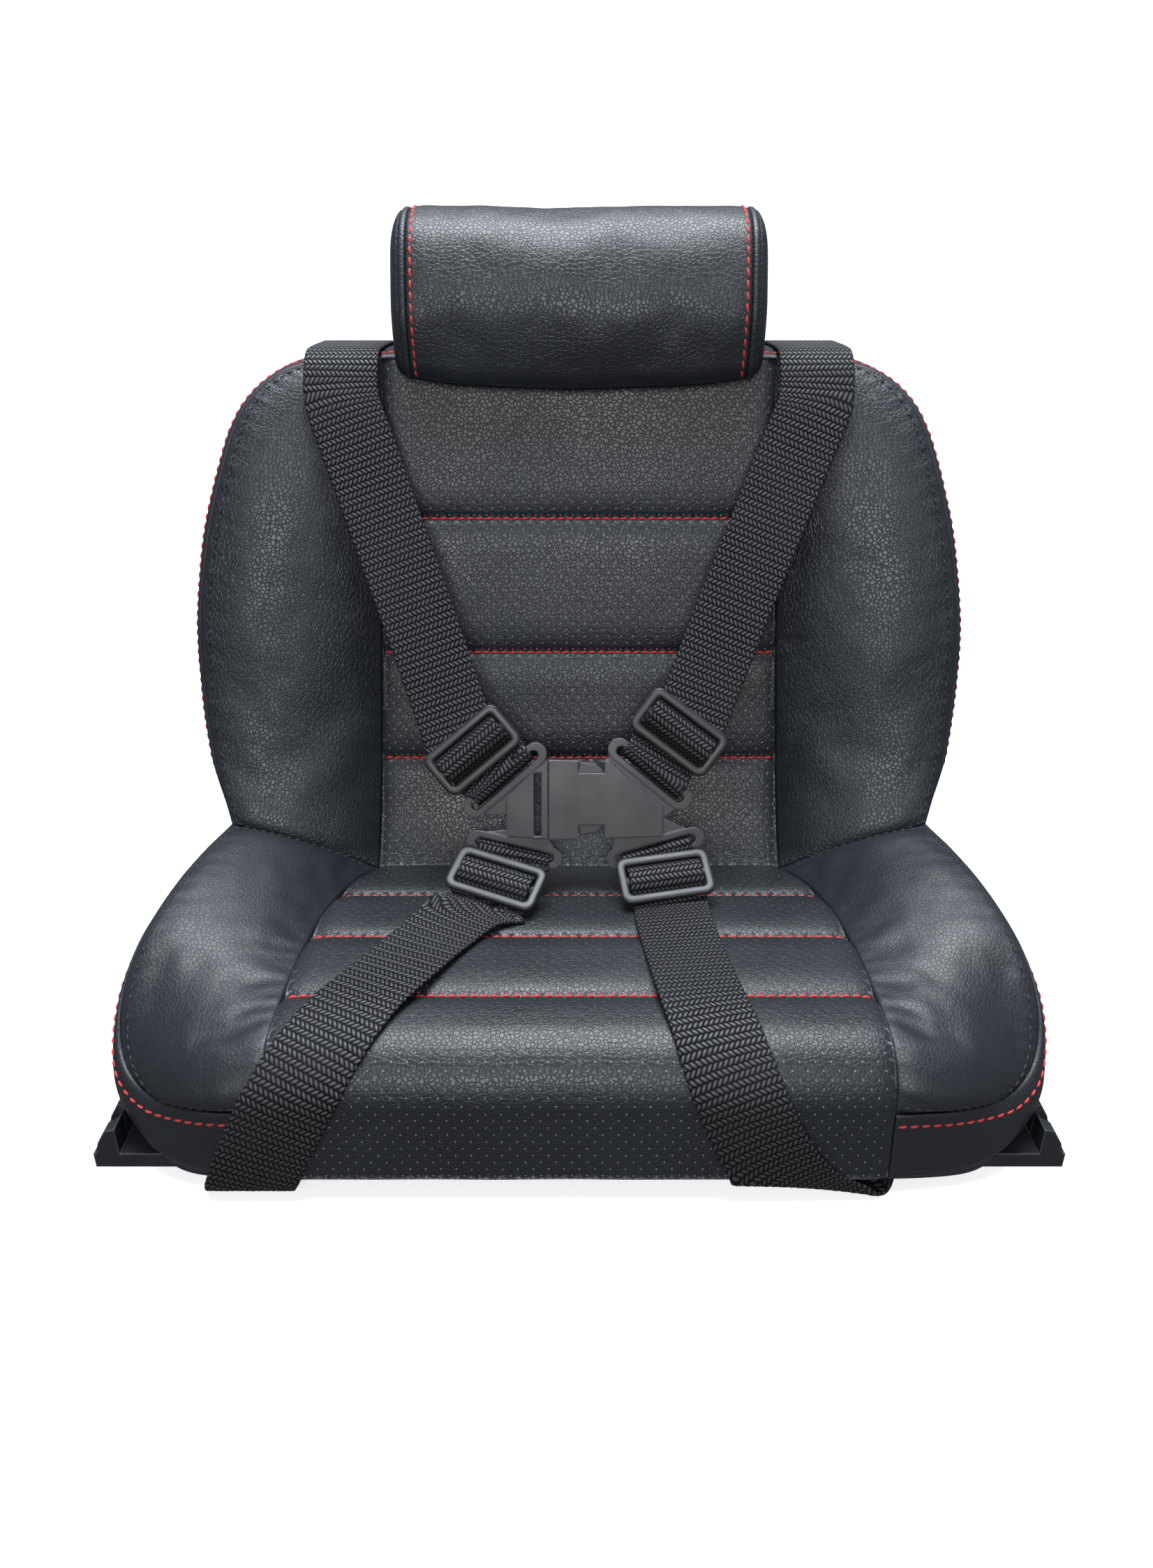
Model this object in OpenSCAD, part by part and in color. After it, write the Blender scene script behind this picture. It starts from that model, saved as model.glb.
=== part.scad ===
// Child's racing bucket seat with a four-point harness.
// +X is the sitter's left (the viewer's right), +Y points to the rear, +Z is up.
// The origin is on the floor, under the middle of the seat's outer box.

/* [Cushion] */
// Half the width of the perforated panel at the front of the cushion
pan_panel_half = 105; // [102:0.5:107]
// Height of the sitting surface at the crease with the backrest
crease_z = 42; // [40:0.5:44]
// Rise of the sitting surface from the crease to the front roll
pan_rise = 12.5; // [10:0.5:14]
// Radius of the front roll of the cushion
roll_r = 20; // [18:0.5:22]
// Swell of the padded bolsters beside the sitting surface
pan_crown = 8; // [5:0.5:10]

/* [Backrest] */
// Half the width of the perforated panel at the crease
back_panel_half = 88; // [86:0.5:89]
// Lean of the backrest, in mm backwards for each mm of height
back_lean = 0.24; // [0.22:0.01:0.26]
// Depth of the lumbar curve just above the crease
lumbar = 14; // [12:0.5:16]
// Swell of the padded bolsters beside the backrest panel
back_crown = 9; // [6:0.5:11]

/* [Cover] */
// Thickness of the artificial leather
skin_t = 1.2; // [0.8:0.1:1.4]
// Width of the elastic band sewn to the lower edge of the cover
elastic_w = 9; // [7:0.5:10]

/* [Headrest] */
// Half the width between the two stitched seams of the headrest
head_seam_half = 67; // [64:0.5:69]
// Thickness of each headrest end cap
head_cap = 7; // [5:0.5:8]

/* [Shell] */
// Wall thickness of the moulded shell
wall = 3; // [2.5:0.1:3.5]
// Half the distance between the two mounting screw holes
lug_hole_x = 166.5; // [165:0.5:167]
// Radius of each mounting screw hole
lug_hole_r = 2.25; // [2:0.05:2.5]
// Height of the mounting foot at its front edge
foot_h = 6; // [5:0.5:7]

/* [Harness] */
// Width of the webbing
web_w = 30; // [28:0.5:31]
// Thickness of the webbing
web_t = 1.5; // [1.2:0.1:1.6]
// Lean of the buckle from upright, in degrees
buckle_lean = 20; // [18:0.5:22]
// Thickness of the buckle body
buckle_t = 9; // [8.5:0.1:10]
// Running gap between the buckle's plug and socket
buckle_gap = 0.3; // [0.2:0.05:0.4]

/* [Hidden] */

$fn = 40;
cushion_gap = 0.4;      // air between a cover panel and the foam under it
crease_y = 20;          // the crease between cushion and backrest
roll_y = -104;          // where the front roll starts
front_y = -127;         // lower front edge of the cushion
back_top = 247;         // top seam of the backrest
deck_z = 13;            // top of the moulded deck under the cushion
rear_foot_y = 60;       // rear face of the seat at the floor
rear_lean = 0.27;       // lean of the rear face
buckle_at = [11, 5, 85];
leather = [0.10, 0.11, 0.12];
leather_perf = [0.13, 0.14, 0.15];
plastic = [0.07, 0.07, 0.08];
webbing = [0.05, 0.05, 0.055];
foam_grey = [0.45, 0.45, 0.47];

// ---------- shared curves ----------

function lerp(a, b, t) = a + (b - a) * t;
function unit(v) = v / norm(v);
function clamp(t) = min(1, max(0, t));
function flat(rows) = [for (row = rows) each row];
function mirrored(p) = [-p[0], p[1], p[2]];

// Smooth curve through the points p, at t from 0 to 1
function spline(p, t) =
    let (n = len(p) - 1, k = min(n - 1, floor(t * n)), u = t * n - k,
         a = p[max(0, k - 1)], b = p[k], c = p[k + 1], d = p[min(n, k + 2)])
    0.5 * (2 * b + (c - a) * u + (2 * a - 5 * b + 4 * c - d) * u * u
           + (3 * b - a - 3 * c + d) * u * u * u);

// Front face of the backrest along its middle, and the rear face of the seat
function back_y(z) =
    crease_y + back_lean * (z - crease_z) + lumbar * (1 - exp((crease_z - z) / 18));
function rear_y(z) = rear_foot_y + rear_lean * z;
function back_panel_x(z) = back_panel_half - 0.035 * (z - crease_z);

// Middle line of the cushion: t = 0 at the crease, 0.68 at the roll, 0.84 below it, 1 at the hem
function pan_top_z(y) = crease_z + pan_rise * sin(90 * (crease_y - y) / (crease_y - roll_y));
function pan_line(t) =
    t < 0.68 ? let (y = lerp(crease_y, roll_y, t / 0.68)) [y, pan_top_z(y)]
    : t < 0.84 ? let (a = 90 * (t - 0.68) / 0.16, z0 = crease_z + pan_rise - roll_r)
        [roll_y - roll_r * sin(a), z0 + roll_r * cos(a)]
    : let (u = (t - 0.84) / 0.16)
        [lerp(roll_y - roll_r, front_y, u), lerp(crease_z + pan_rise - roll_r, 9, u)];
function pan_panel_x(y) =
    back_panel_half + (pan_panel_half - back_panel_half) * (1 - exp((y - crease_y) / 25));

// Outer seams of the bolsters on the +X side
pan_edge = [[147, 12, 69], [151, -14, 71], [155.5, -40, 70], [160, -66, 64],
    [163, -84, 52], [160.5, -98, 40], [153, -108, 34], [141, -116, 32]];
back_edge = [[147, 12, 69], [154, 24, 92], [157.5, 35, 122], [157, 42, 150], [152.5, 51, 180],
    [145.5, 60, 206], [137, 70, 228], [124, 78, 240.5], [106, 82.5, 245.5]];
rear_edge = [[143, 73, 60], [150, 85, 92], [153, 94, 122], [152, 102, 150], [148, 110, 180],
    [141, 117, 206], [132, 122, 228], [120, 125, 240.5], [102, 126, 245.5]];
hem_edge = [[141, 72, 21], [149, 12, 21], [157, -40, 21], [161.5, -80, 21],
    [160, -100, 19], [151, -113, 14], [136, -122, 9], [108, -126.5, 8]];

// ---------- cover surfaces, as grids of points on the outer face ----------

function steps(a, b, n) = [for (i = [0:n]) a + (b - a) * i / n];

function pan_bolster_point(s, t) =
    let (line = pan_line(t * 0.84), seam = [pan_panel_x(line[0]), line[0], line[1]],
         edge = spline(pan_edge, t),
         out = unit(lerp([0, 0, 1], [0.3, -1, 0.2], clamp((t - 0.6) / 0.35))))
    lerp(seam, edge, s) + out * pan_crown * 4 * s * (1 - s) * (1 - 0.3 * t) * sqrt(clamp(10 * t));

function back_bolster_point(s, t) =
    let (z = lerp(crease_z, back_top, t), seam = [back_panel_x(z), back_y(z), z],
         edge = spline(back_edge, t), out = [0, -0.97, 0.24])
    lerp(seam, edge, s) + out * back_crown * 4 * s * (1 - s) * (1 - 0.75 * t * t) * sqrt(clamp(10 * t));

function pan_centre_point(s, t) =
    let (line = pan_line(t)) [s * pan_panel_x(line[0]), line[0], line[1]]
    + [0, 0, 2 * (1 - s * s) * clamp(t * 6) * clamp((0.9 - t) * 6)];

function back_centre_point(s, t) =
    let (z = lerp(crease_z, back_top, t))
    [s * back_panel_x(z), back_y(z) - 2 * (1 - s * s) * clamp(t * 6), z];

// The skirt's upper edge follows the bolster seam, then runs to the rear corner
skirt_top = concat([rear_edge[0]], pan_edge, [[125, -122.5, 33], [107, -125.3, 34]]);
function skirt_point(s, t) =
    lerp(spline(skirt_top, t), spline(hem_edge, t), s)
    + [3, -1.5, 0] * 4 * s * (1 - s) * clamp((0.9 - t) * 5);

function back_side_point(s, t) =
    let (top_f = [[back_panel_x(back_top) - 7, back_y(back_top), back_top + 0.5]],
         top_r = [[80, 126.5, back_top + 0.5]])
    lerp(spline(concat(back_edge, top_f), t), spline(concat(rear_edge, top_r), t), s);

rear_widths = concat([[21, 141]], [for (p = rear_edge) [p[2], p[0]]]);
function rear_point(s, t) =
    let (z = lerp(21, 244, t))
    [s * (lookup(z, rear_widths) - 2), rear_y(z) + 3 * (1 - s * s), z];

function hem_point(s, t) =
    spline(hem_edge, t) + [-1.2 - s * 2, s * 0.6, -1.6 - s * elastic_w * clamp((0.97 - t) * 2.4)];

// ---------- solids from grids ----------

// Unit normal of a grid at row i, column j, turned by side
function grid_normal(g, i, j, side) =
    let (n = len(g) - 1, m = len(g[0]) - 1,
         du = g[min(n, i + 1)][j] - g[max(0, i - 1)][j],
         dv = g[i][min(m, j + 1)] - g[i][max(0, j - 1)])
    side * unit(cross(du, dv));

function sunk(g, depth, side) =
    [for (i = [0:len(g) - 1]) [for (j = [0:len(g[0]) - 1]) g[i][j] - depth * grid_normal(g, i, j, side)]];

// Closed solid between two grids of the same size
module between(outer, inner, side) {
    rows = len(outer);
    cols = len(outer[0]);
    shift = rows * cols;
    function at(i, j) = i * cols + j;
    function tri(a, b, c) = side > 0 ? [a, b, c] : [a, c, b];
    top = [for (i = [0:rows - 2]) for (j = [0:cols - 2])
        each [tri(at(i, j), at(i, j + 1), at(i + 1, j)), tri(at(i + 1, j), at(i, j + 1), at(i + 1, j + 1))]];
    bottom = [for (f = top) [f[0] + shift, f[2] + shift, f[1] + shift]];
    rim = concat(
        [for (j = [0:cols - 2]) [at(0, j + 1), at(0, j)]],
        [for (i = [0:rows - 2]) [at(i, 0), at(i + 1, 0)]],
        [for (j = [0:cols - 2]) [at(rows - 1, j), at(rows - 1, j + 1)]],
        [for (i = [0:rows - 2]) [at(i + 1, cols - 1), at(i, cols - 1)]]);
    walls = [for (e = rim)
        each [tri(e[0], e[1], e[1] + shift), tri(e[0], e[1] + shift, e[0] + shift)]];
    polyhedron(points = concat(flat(outer), flat(inner)), faces = concat(top, bottom, walls));
}

module skin(g, side = 1) {
    between(g, sunk(g, skin_t, side), side);
}

// A grid over a patch function, kept clear of its seams by the fractions e and f
pan_bolster = [for (s = steps(0.03, 0.97, 6)) [for (t = steps(0.02, 0.985, 14)) pan_bolster_point(s, t)]];
back_bolster = [for (s = steps(0.03, 0.97, 6)) [for (t = steps(0.02, 0.985, 16)) back_bolster_point(s, t)]];
pan_centre = [for (s = steps(-0.985, 0.985, 8)) [for (t = steps(0.02, 1, 18)) pan_centre_point(s, t)]];
back_centre = [for (s = steps(-0.98, 0.98, 8)) [for (t = steps(0.015, 0.965, 12)) back_centre_point(s, t)]];
skirt = [for (s = steps(0.06, 1, 4)) [for (t = steps(0, 0.985, 20)) skirt_point(s, t)]];
back_side = [for (s = steps(0.06, 0.97, 4)) [for (t = steps(0.01, 1, 20)) back_side_point(s, t)]];
rear = [for (s = steps(-1, 1, 8)) [for (t = steps(0, 1, 12)) rear_point(s, t)]];
hem = [for (s = [0, 1]) [for (t = steps(0, 0.97, 18)) hem_point(s, t)]];

// ---------- foam ----------

module pan_foam() color(foam_grey) {
    depth = skin_t + cushion_gap;
    side_s = [0.95, 0.75, 0.5, 0.25, 0.04];
    ts = steps(0.03, 0.96, 14);
    left = [for (s = side_s) [for (t = ts) mirrored(pan_bolster_point(s, t))]];
    middle = [for (s = steps(-0.9, 0.9, 4)) [for (t = ts) pan_centre_point(s, t * 0.84)]];
    right = [for (k = [4:-1:0]) [for (t = ts) pan_bolster_point(side_s[k], t)]];
    top = sunk(concat(left, middle, right), depth + 1.2, -1);
    n = len(ts) - 1;
    base = [for (row = top) [for (j = [0:n])
        [row[j][0] * 0.95, lerp(row[0][1], front_y + 16, j / n), deck_z + cushion_gap]]];
    between(top, base, -1);
}

module back_foam() color(foam_grey) {
    depth = skin_t + cushion_gap;
    side_s = [0.95, 0.75, 0.5, 0.25, 0.04];
    ts = steps(0.05, 0.97, 12);
    left = [for (s = side_s) [for (t = ts) mirrored(back_bolster_point(s, t))]];
    middle = [for (s = steps(-0.9, 0.9, 4)) [for (t = ts) back_centre_point(s, t)]];
    right = [for (k = [4:-1:0]) [for (t = ts) back_bolster_point(side_s[k], t)]];
    front = sunk(concat(left, middle, right), depth + 1.3, 1);
    back = [for (row = front) [for (p = row) [p[0] * 0.94, board_y(p[2]) - 3 * cushion_gap, p[2]]]];
    between(front, back, 1);
}

// ---------- shell ----------

// Front face of the moulded board behind the back foam
function board_y(z) = back_y(max(z, crease_z)) + 21;
function shell_outline(grow) = [for (t = steps(0, 1, 24))
    let (p = spline(back_edge, t)) [p[0] * 0.905 + grow, p[2] * 0.98]];

// A slab between two faces y = near(z) and y = far(z), over the whole width
module slab(near, far, low, high) {
    rotate([90, 0, 90])
        translate([0, 0, -160])
            linear_extrude(320)
                polygon(concat(
                    [for (z = steps(low, high, 30)) [near(z), z]],
                    [for (z = steps(high, low, 30)) [far(z), z]]));
}

// The backrest's outline seen from the front, as a block along Y
module outline_block(grow) {
    side = shell_outline(grow);
    low = [side[0][0], 0];
    translate([0, 160, 0])
        rotate([90, 0, 0])
            linear_extrude(200)
                polygon(concat([low], side, [for (k = [len(side) - 1:-1:0]) [-side[k][0], side[k][1]]],
                    [[-low[0], 0]]));
}

module base_plan(half_front, half_rear, front, rear) {
    polygon([[-half_front, front], [half_front, front], [half_rear, rear], [-half_rear, rear]]);
}

strap_slot = [[-131, 36], [61, 52]];    // left end and width of each lap strap's slot under the deck
lap_anchor = [[-112, -78], [96, -78]];
shoulder_anchor_z = 150;
shoulder_x = 96;
rib_pitch = 33;

module mounting_foot() {
    // flat flange with a boss that rises inwards and a screw pocket open to the side
    difference() {
        union() {
            translate([110, -114, 0])
                cube([61, 34, foot_h]);
            rotate([90, 0, 0])
                translate([0, 0, 84])
                    linear_extrude(30)
                        polygon([[161.8, foot_h - 0.01], [170, foot_h - 0.01], [168.6, 11], [165.4, 16.4], [161.8, 17]]);
        }
        translate([lug_hole_x, -105, -1])
            cylinder(h = 12, r = lug_hole_r);
        translate([lug_hole_x, -105, wall])
            cylinder(h = 20, r = 4.5);
        translate([lug_hole_x, -109.5, wall])
            cube([12, 9, 20]);
        translate([113, -111, -1])
            cube([44, 28, foot_h - wall + 1]);
    }
}

module seat_shell() color(plastic) {
    difference() {
        union() {
            // base tray
            linear_extrude(deck_z)
                base_plan(143, 137, -112, 59);
            // backrest board with its ribs
            intersection() {
                slab(function(z) board_y(z), function(z) board_y(z) + wall, 6, 244);
                outline_block(0);
            }
            intersection() {
                slab(function(z) board_y(z) + wall - 0.5, function(z) rear_y(z) - 2.5, deck_z, 238);
                union() {
                    difference() {
                        outline_block(0);
                        outline_block(-wall);
                    }
                    for (k = [-3:3])
                        translate([k * rib_pitch - wall / 2, -10, 0])
                            cube([wall, 180, 226]);
                    for (s = [-1, 1])
                        translate([s * shoulder_x, 60, shoulder_anchor_z])
                            rotate([-90, 0, 0])
                                cylinder(h = 80, r = 6);
                }
            }
            // core of the headrest
            translate([-50, 104, 232])
                cube([100, 12, 56]);
            // mounting feet
            mounting_foot();
            mirror([1, 0, 0])
                mounting_foot();
        }
        // underside of the tray, between its ribs
        for (k = [-3:3])
            translate([k * rib_pitch - (rib_pitch - wall) / 2, -111, -1])
                cube([rib_pitch - wall, 165, deck_z - wall + 1]);
        for (s = [-1, 1])
            translate([s * 126.5 - 8, -111, -1])
                cube([16, 165, deck_z - wall + 1]);
        for (slot = strap_slot) {
            translate([slot[0], -116, -1])
                cube([slot[1], 12, 5]);
            translate([slot[0], -109, -1])
                cube([slot[1], 52, deck_z - wall + 1]);
        }
        for (a = lap_anchor)
            translate([a[0], a[1], -1])
                cylinder(h = 10.2, r = 9);
        // screw pilot holes
        for (a = lap_anchor)
            translate([a[0], a[1], -1])
                cylinder(h = 13.2, r = 1.6);
        for (s = [-1, 1])
            translate([s * shoulder_x, rear_y(shoulder_anchor_z), shoulder_anchor_z])
                rotate([-90 - atan(rear_lean), 0, 0])
                    translate([0, 0, -14])
                        cylinder(h = 20, r = 1.6);
    }
}

// ---------- cover ----------

module pan_centre_panel() color(leather_perf) skin(pan_centre, -1);
module back_centre_panel() color(leather_perf) skin(back_centre);
module pan_bolster_right() color(leather) skin(pan_bolster, -1);
module pan_bolster_left() color(leather) mirror([1, 0, 0]) skin(pan_bolster, -1);
module back_bolster_right() color(leather) skin(back_bolster);
module back_bolster_left() color(leather) mirror([1, 0, 0]) skin(back_bolster);
module pan_skirt_right() color(leather) skin(skirt, -1);
module pan_skirt_left() color(leather) mirror([1, 0, 0]) skin(skirt, -1);
module back_side_right() color(leather) skin(back_side);
module back_side_left() color(leather) mirror([1, 0, 0]) skin(back_side);
module rear_panel() color(leather) skin(rear, -1);
module hem_elastic() color(webbing) {
    skin(hem, -1);
    mirror([1, 0, 0])
        skin(hem, -1);
}

// Headrest section, as a closed curve around its middle
head_mid = [95, 273];
head_ring = [[69, 240.5], [80, 244], [88, 250.5], [122, 250.5], [130.5, 268], [123, 291],
    [98, 301.5], [75, 294], [63, 268], [65, 248]];
function head_section(shrink) = let (n = len(head_ring), closed = concat(head_ring, [head_ring[0]]))
    [for (k = [0:47]) let (p = spline(closed, k / 48), d = p - head_mid) head_mid + d * (1 - shrink / norm(d))];

module head_slice(low, high, shrink) {
    translate([low, 0, 0])
        rotate([90, 0, 90])
            linear_extrude(high - low)
                polygon(head_section(shrink));
}

module headrest_cover() color(leather) difference() {
    head_slice(-head_seam_half, head_seam_half, 0);
    head_slice(-head_seam_half - 1, head_seam_half + 1, skin_t);
    // slit for the shell's core
    translate([-50 - cushion_gap, 104 - cushion_gap, 200])
        cube([100 + 2 * cushion_gap, 12 + 2 * cushion_gap, 62]);
}

module head_end_cap() difference() {
    union() {
        head_slice(head_seam_half + 0.1, head_seam_half + head_cap * 0.6, 0.1);
        head_slice(head_seam_half + head_cap * 0.6, head_seam_half + head_cap, 3);
    }
    head_slice(head_seam_half - 1, head_seam_half + head_cap - skin_t, 4.4);
}

module headrest_cap_right() color(leather) head_end_cap();
module headrest_cap_left() color(leather) mirror([1, 0, 0]) head_end_cap();

module headrest_foam() color(foam_grey) difference() {
    head_slice(-head_seam_half + 0.5, head_seam_half - 0.5, skin_t + cushion_gap);
    translate([-50 - cushion_gap, 104 - cushion_gap, 200])
        cube([100 + 2 * cushion_gap, 12 + 2 * cushion_gap, 88 + cushion_gap]);
}

// ---------- harness webbing ----------

// Flat webbing along points p; w holds the half-width vector at each point
module web(p, w) {
    n = len(p) - 1;
    rings = [for (i = [0:n])
        let (along = p[min(n, i + 1)] - p[max(0, i - 1)], up = unit(cross(w[i], along)) * web_t / 2)
        [p[i] - w[i] - up, p[i] + w[i] - up, p[i] + w[i] + up, p[i] - w[i] + up]];
    faces = concat(
        [[0, 1, 2, 3]],
        [[for (k = [3:-1:0]) 4 * n + k]],
        [for (i = [0:n - 1]) for (k = [0:3])
            each [[4 * i + k, 4 * i + 4 + k, 4 * i + 4 + (k + 1) % 4],
                  [4 * i + k, 4 * i + 4 + (k + 1) % 4, 4 * i + (k + 1) % 4]]]);
    polyhedron(points = flat(rings), faces = faces);
}

half_w = web_w / 2;
// From buckle coordinates (right, up, out) to the seat's frame
function from_buckle(p) = buckle_at + [p[0],
    p[1] * sin(buckle_lean) - p[2] * cos(buckle_lean), p[1] * cos(buckle_lean) + p[2] * sin(buckle_lean)];
function plane_dir(lean, angle) = [cos(angle), sin(angle) * sin(lean), sin(angle) * cos(lean)];

// Slider frames: place, lean of the plane from upright, turn in that plane
slider_ul = [[-43.5, 10.2, 104.5], 20, 39.8];
slider_ur = [[41, 13.2, 111.1], 20, -36.7];
slider_ll = [[-33.3, -20.8, 61.6], 65, -20];
slider_lr = [[34.9, -17.6, 60.7], 61, 9];

// Half-width vector of a section cut across the webbing in the direction dir
function section(dir, along) = unit(dir) * half_w / norm(cross(unit(dir), unit(along)));

// Slot centre, turn and length of each buckle ear, in buckle coordinates
ear_ul = [[-41.4, 7.5], 41, 33.4];
ear_ur = [[18.2, 10], -39, 32.6];
ear_ll = [[-37.6, -21.4], -13.3, 31.3];
ear_lr = [[20.6, -20.8], 15.5, 32.2];

// Direction in a slider's or ear's plane, square to its bar and pointing to a place
function square_to(dir, out, toward) = let (v = unit(cross(out, dir))) v * toward > 0 ? v : -v;
function outward(lean) = [0, -cos(lean), sin(lean)];
function ear_at(ear) = from_buckle([ear[0][0], ear[0][1], 0]);
function slider_toward(slider, ear) =
    square_to(plane_dir(slider[1], slider[2]), outward(slider[1]), ear_at(ear) - slider[0]);
// A strap passes under the far rim of its slider, d before the bar, and ends there
function under_rim(slider, ear, d) = slider[0] - d * slider_toward(slider, ear) - 1.6 * outward(slider[1]);
function tail(slider, ear) = under_rim(slider, ear, 9.7);

// Webbing along a route, cut level everywhere but at its end by a slider
module strap_run(route, slider) {
    n = len(route) - 1;
    turn = plane_dir(slider[1], slider[2]);
    web(route, [for (i = [0:n])
        section(i >= n - 1 ? turn : [1, 0, 0], route[min(n, i + 1)] - route[max(0, i - 1)])]);
}

module shoulder_run(side, slider, ear) {
    x = side * shoulder_x;
    behind = [for (z = steps(shoulder_anchor_z - 12, 238, 6)) [x, rear_y(z) + 5.2, z]];
    over = [[x, 128, 246.5], [x, 123, 250], [x, 106, 250.8], [x, 88, 250.8], [x, 80.5, 249.6],
        [x, 75, 245.5], [x, 70.5, 238]];
    front = [for (t = [0, 0.15, 0.3, 0.5, 0.7, 0.85, 1]) lerp([side * 94.5, 66.5, 230], tail(slider, ear), t)];
    strap_run(concat(behind, over, front), slider);
}

// Lap straps, from the anchor under the deck to just short of the slider
lap_route_left = [[-112, -68, 7.9], [-112, -84, 7.9], [-113, -94, 5], [-114, -106, 1.6], [-114, -120, 1.2],
    [-113, -126.5, 2.5], [-111, -129.6, 8], [-107, -130.2, 18], [-101, -129.4, 31], [-95, -127, 43],
    [-89, -119.5, 52], [-83, -109, 57.5], [-76, -95, 59.5], [-66, -76, 58.7], [-56, -56, 57], [-46, -38, 56]];
lap_route_right = [[96, -68, 7.9], [96, -84, 7.9], [92, -94, 5], [87, -106, 1.6], [81, -120, 1.2],
    [77, -126.5, 2.5], [72, -129.6, 8], [65, -130.2, 18], [58, -129.4, 31], [53, -127, 43],
    [49, -119.5, 52], [46, -109, 57.5], [43, -95, 59.5], [40.5, -76, 58.7], [38.5, -56, 57], [37, -38, 56]];
module lap_run(route, slider, ear) {
    strap_run(concat(route, [under_rim(slider, ear, 12.6), tail(slider, ear)]), slider);
}

// The doubled end: over the slider's bar, to the buckle ear, through its slot and back
module loop_run(slider, ear) {
    bar = slider[0];
    slot = ear_at(ear);
    across_s = plane_dir(slider[1], slider[2]) * half_w;
    across_e = plane_dir(buckle_lean, ear[1]) * half_w;
    to_slot = slider_toward(slider, ear);
    to_bar = square_to(across_e, outward(buckle_lean), bar - slot);
    out_s = outward(slider[1]);
    out_e = outward(buckle_lean);
    // distance along the plane, and out of it
    over_bar = [[-8.6, -1.75], [-5.6, -1], [-3.4, 2.2], [-1.4, 3.2], [1.4, 3.2], [3.4, 2.2], [5.6, -1], [9.6, -1.9]];
    round_ear = [[4.2, 3.2], [1.3, 2.9], [-0.3, 1.5], [-0.3, -1.5], [1.3, -2.9], [5.4, -3.2]];
    back = [[7, -4.6], [-2, -4.2]];
    web(concat([for (q = over_bar) bar + q[0] * to_slot + q[1] * out_s],
            [for (q = round_ear) slot + q[0] * to_bar + q[1] * out_e],
            [for (q = back) bar + q[0] * to_slot + q[1] * out_s]),
        concat([for (q = over_bar) across_s * 0.98], [for (q = round_ear) across_e * 0.98],
            [for (q = back) across_s * 0.98]));
}

module shoulder_strap_left() color(webbing) shoulder_run(-1, slider_ul, ear_ul);
module shoulder_strap_right() color(webbing) shoulder_run(1, slider_ur, ear_ur);
module lap_strap_left() color(webbing) lap_run(lap_route_left, slider_ll, ear_ll);
module lap_strap_right() color(webbing) lap_run(lap_route_right, slider_lr, ear_lr);
module shoulder_loop_left() color(webbing) loop_run(slider_ul, ear_ul);
module shoulder_loop_right() color(webbing) loop_run(slider_ur, ear_ur);
module lap_loop_left() color(webbing) loop_run(slider_ll, ear_ll);
module lap_loop_right() color(webbing) loop_run(slider_lr, ear_lr);

// ---------- sliders ----------

slider_l = 37.5;
slider_h = 20;
slider_rim = 2.6;
slider_t = 2.4;

module rounded_plate(length, height, r, t) {
    linear_extrude(t) {
        square([length - 2 * r, height], center = true);
        square([length, height - 2 * r], center = true);
        for (x = [-1, 1])
            for (y = [-1, 1])
                translate([x * (length / 2 - r), y * (height / 2 - r)])
                    circle(r = r);
    }
}

module slider_frame() {
    difference() {
        translate([0, 0, -0.4])
            rounded_plate(slider_l, slider_h, 3, slider_t);
        translate([0, 0, -2])
            rounded_plate(slider_l - 2 * slider_rim - 0.6, slider_h - 2 * slider_rim, 1, 6);
    }
    translate([-slider_l / 2 + 1, -1.9, -0.4])
        cube([slider_l - 2, 3.8, 1.8]);
}

module place_slider(s) {
    translate(s[0])
        rotate([90 - s[1], 0, 0])
            rotate([0, 0, s[2]])
                slider_frame();
}

module shoulder_slider_left() color(plastic) place_slider(slider_ul);
module shoulder_slider_right() color(plastic) place_slider(slider_ur);
module lap_slider_left() color(plastic) place_slider(slider_ll);
module lap_slider_right() color(plastic) place_slider(slider_lr);

// ---------- buckle ----------

ear_t = 3.4;
ear_web_t = 2.8;
ear_r = 4.7;
slot_r = 2.1;
mouth_x = -23.4;
cavity_x = 4;
cavity_h = 13.4;
window_x = [-11.2, -0.6];
arm_root = [-23, 9.5];

module on_buckle() {
    translate(buckle_at)
        rotate([90 - buckle_lean, 0, 0])
            children();
}

// A plate with half-round ends, lying along an ear's line
module ear_shape(ear, between_ends, r, t) {
    translate(concat(ear[0], -t / 2))
        rotate([0, 0, ear[1]])
            linear_extrude(t)
                polygon([for (end = [0, 1]) for (a = steps(-90, 90, 8))
                    [(end == 0 ? 1 : -1) * (between_ends / 2 + r * cos(a)), (end == 0 ? 1 : -1) * r * sin(a)]]);
}
module ear_ring(ear) {
    ear_shape(ear, ear[2], ear_r, ear_t);
}
module ear_slot(ear) {
    ear_shape(ear, ear[2] - 2 * slot_r + 2, slot_r, 10);
}

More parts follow.
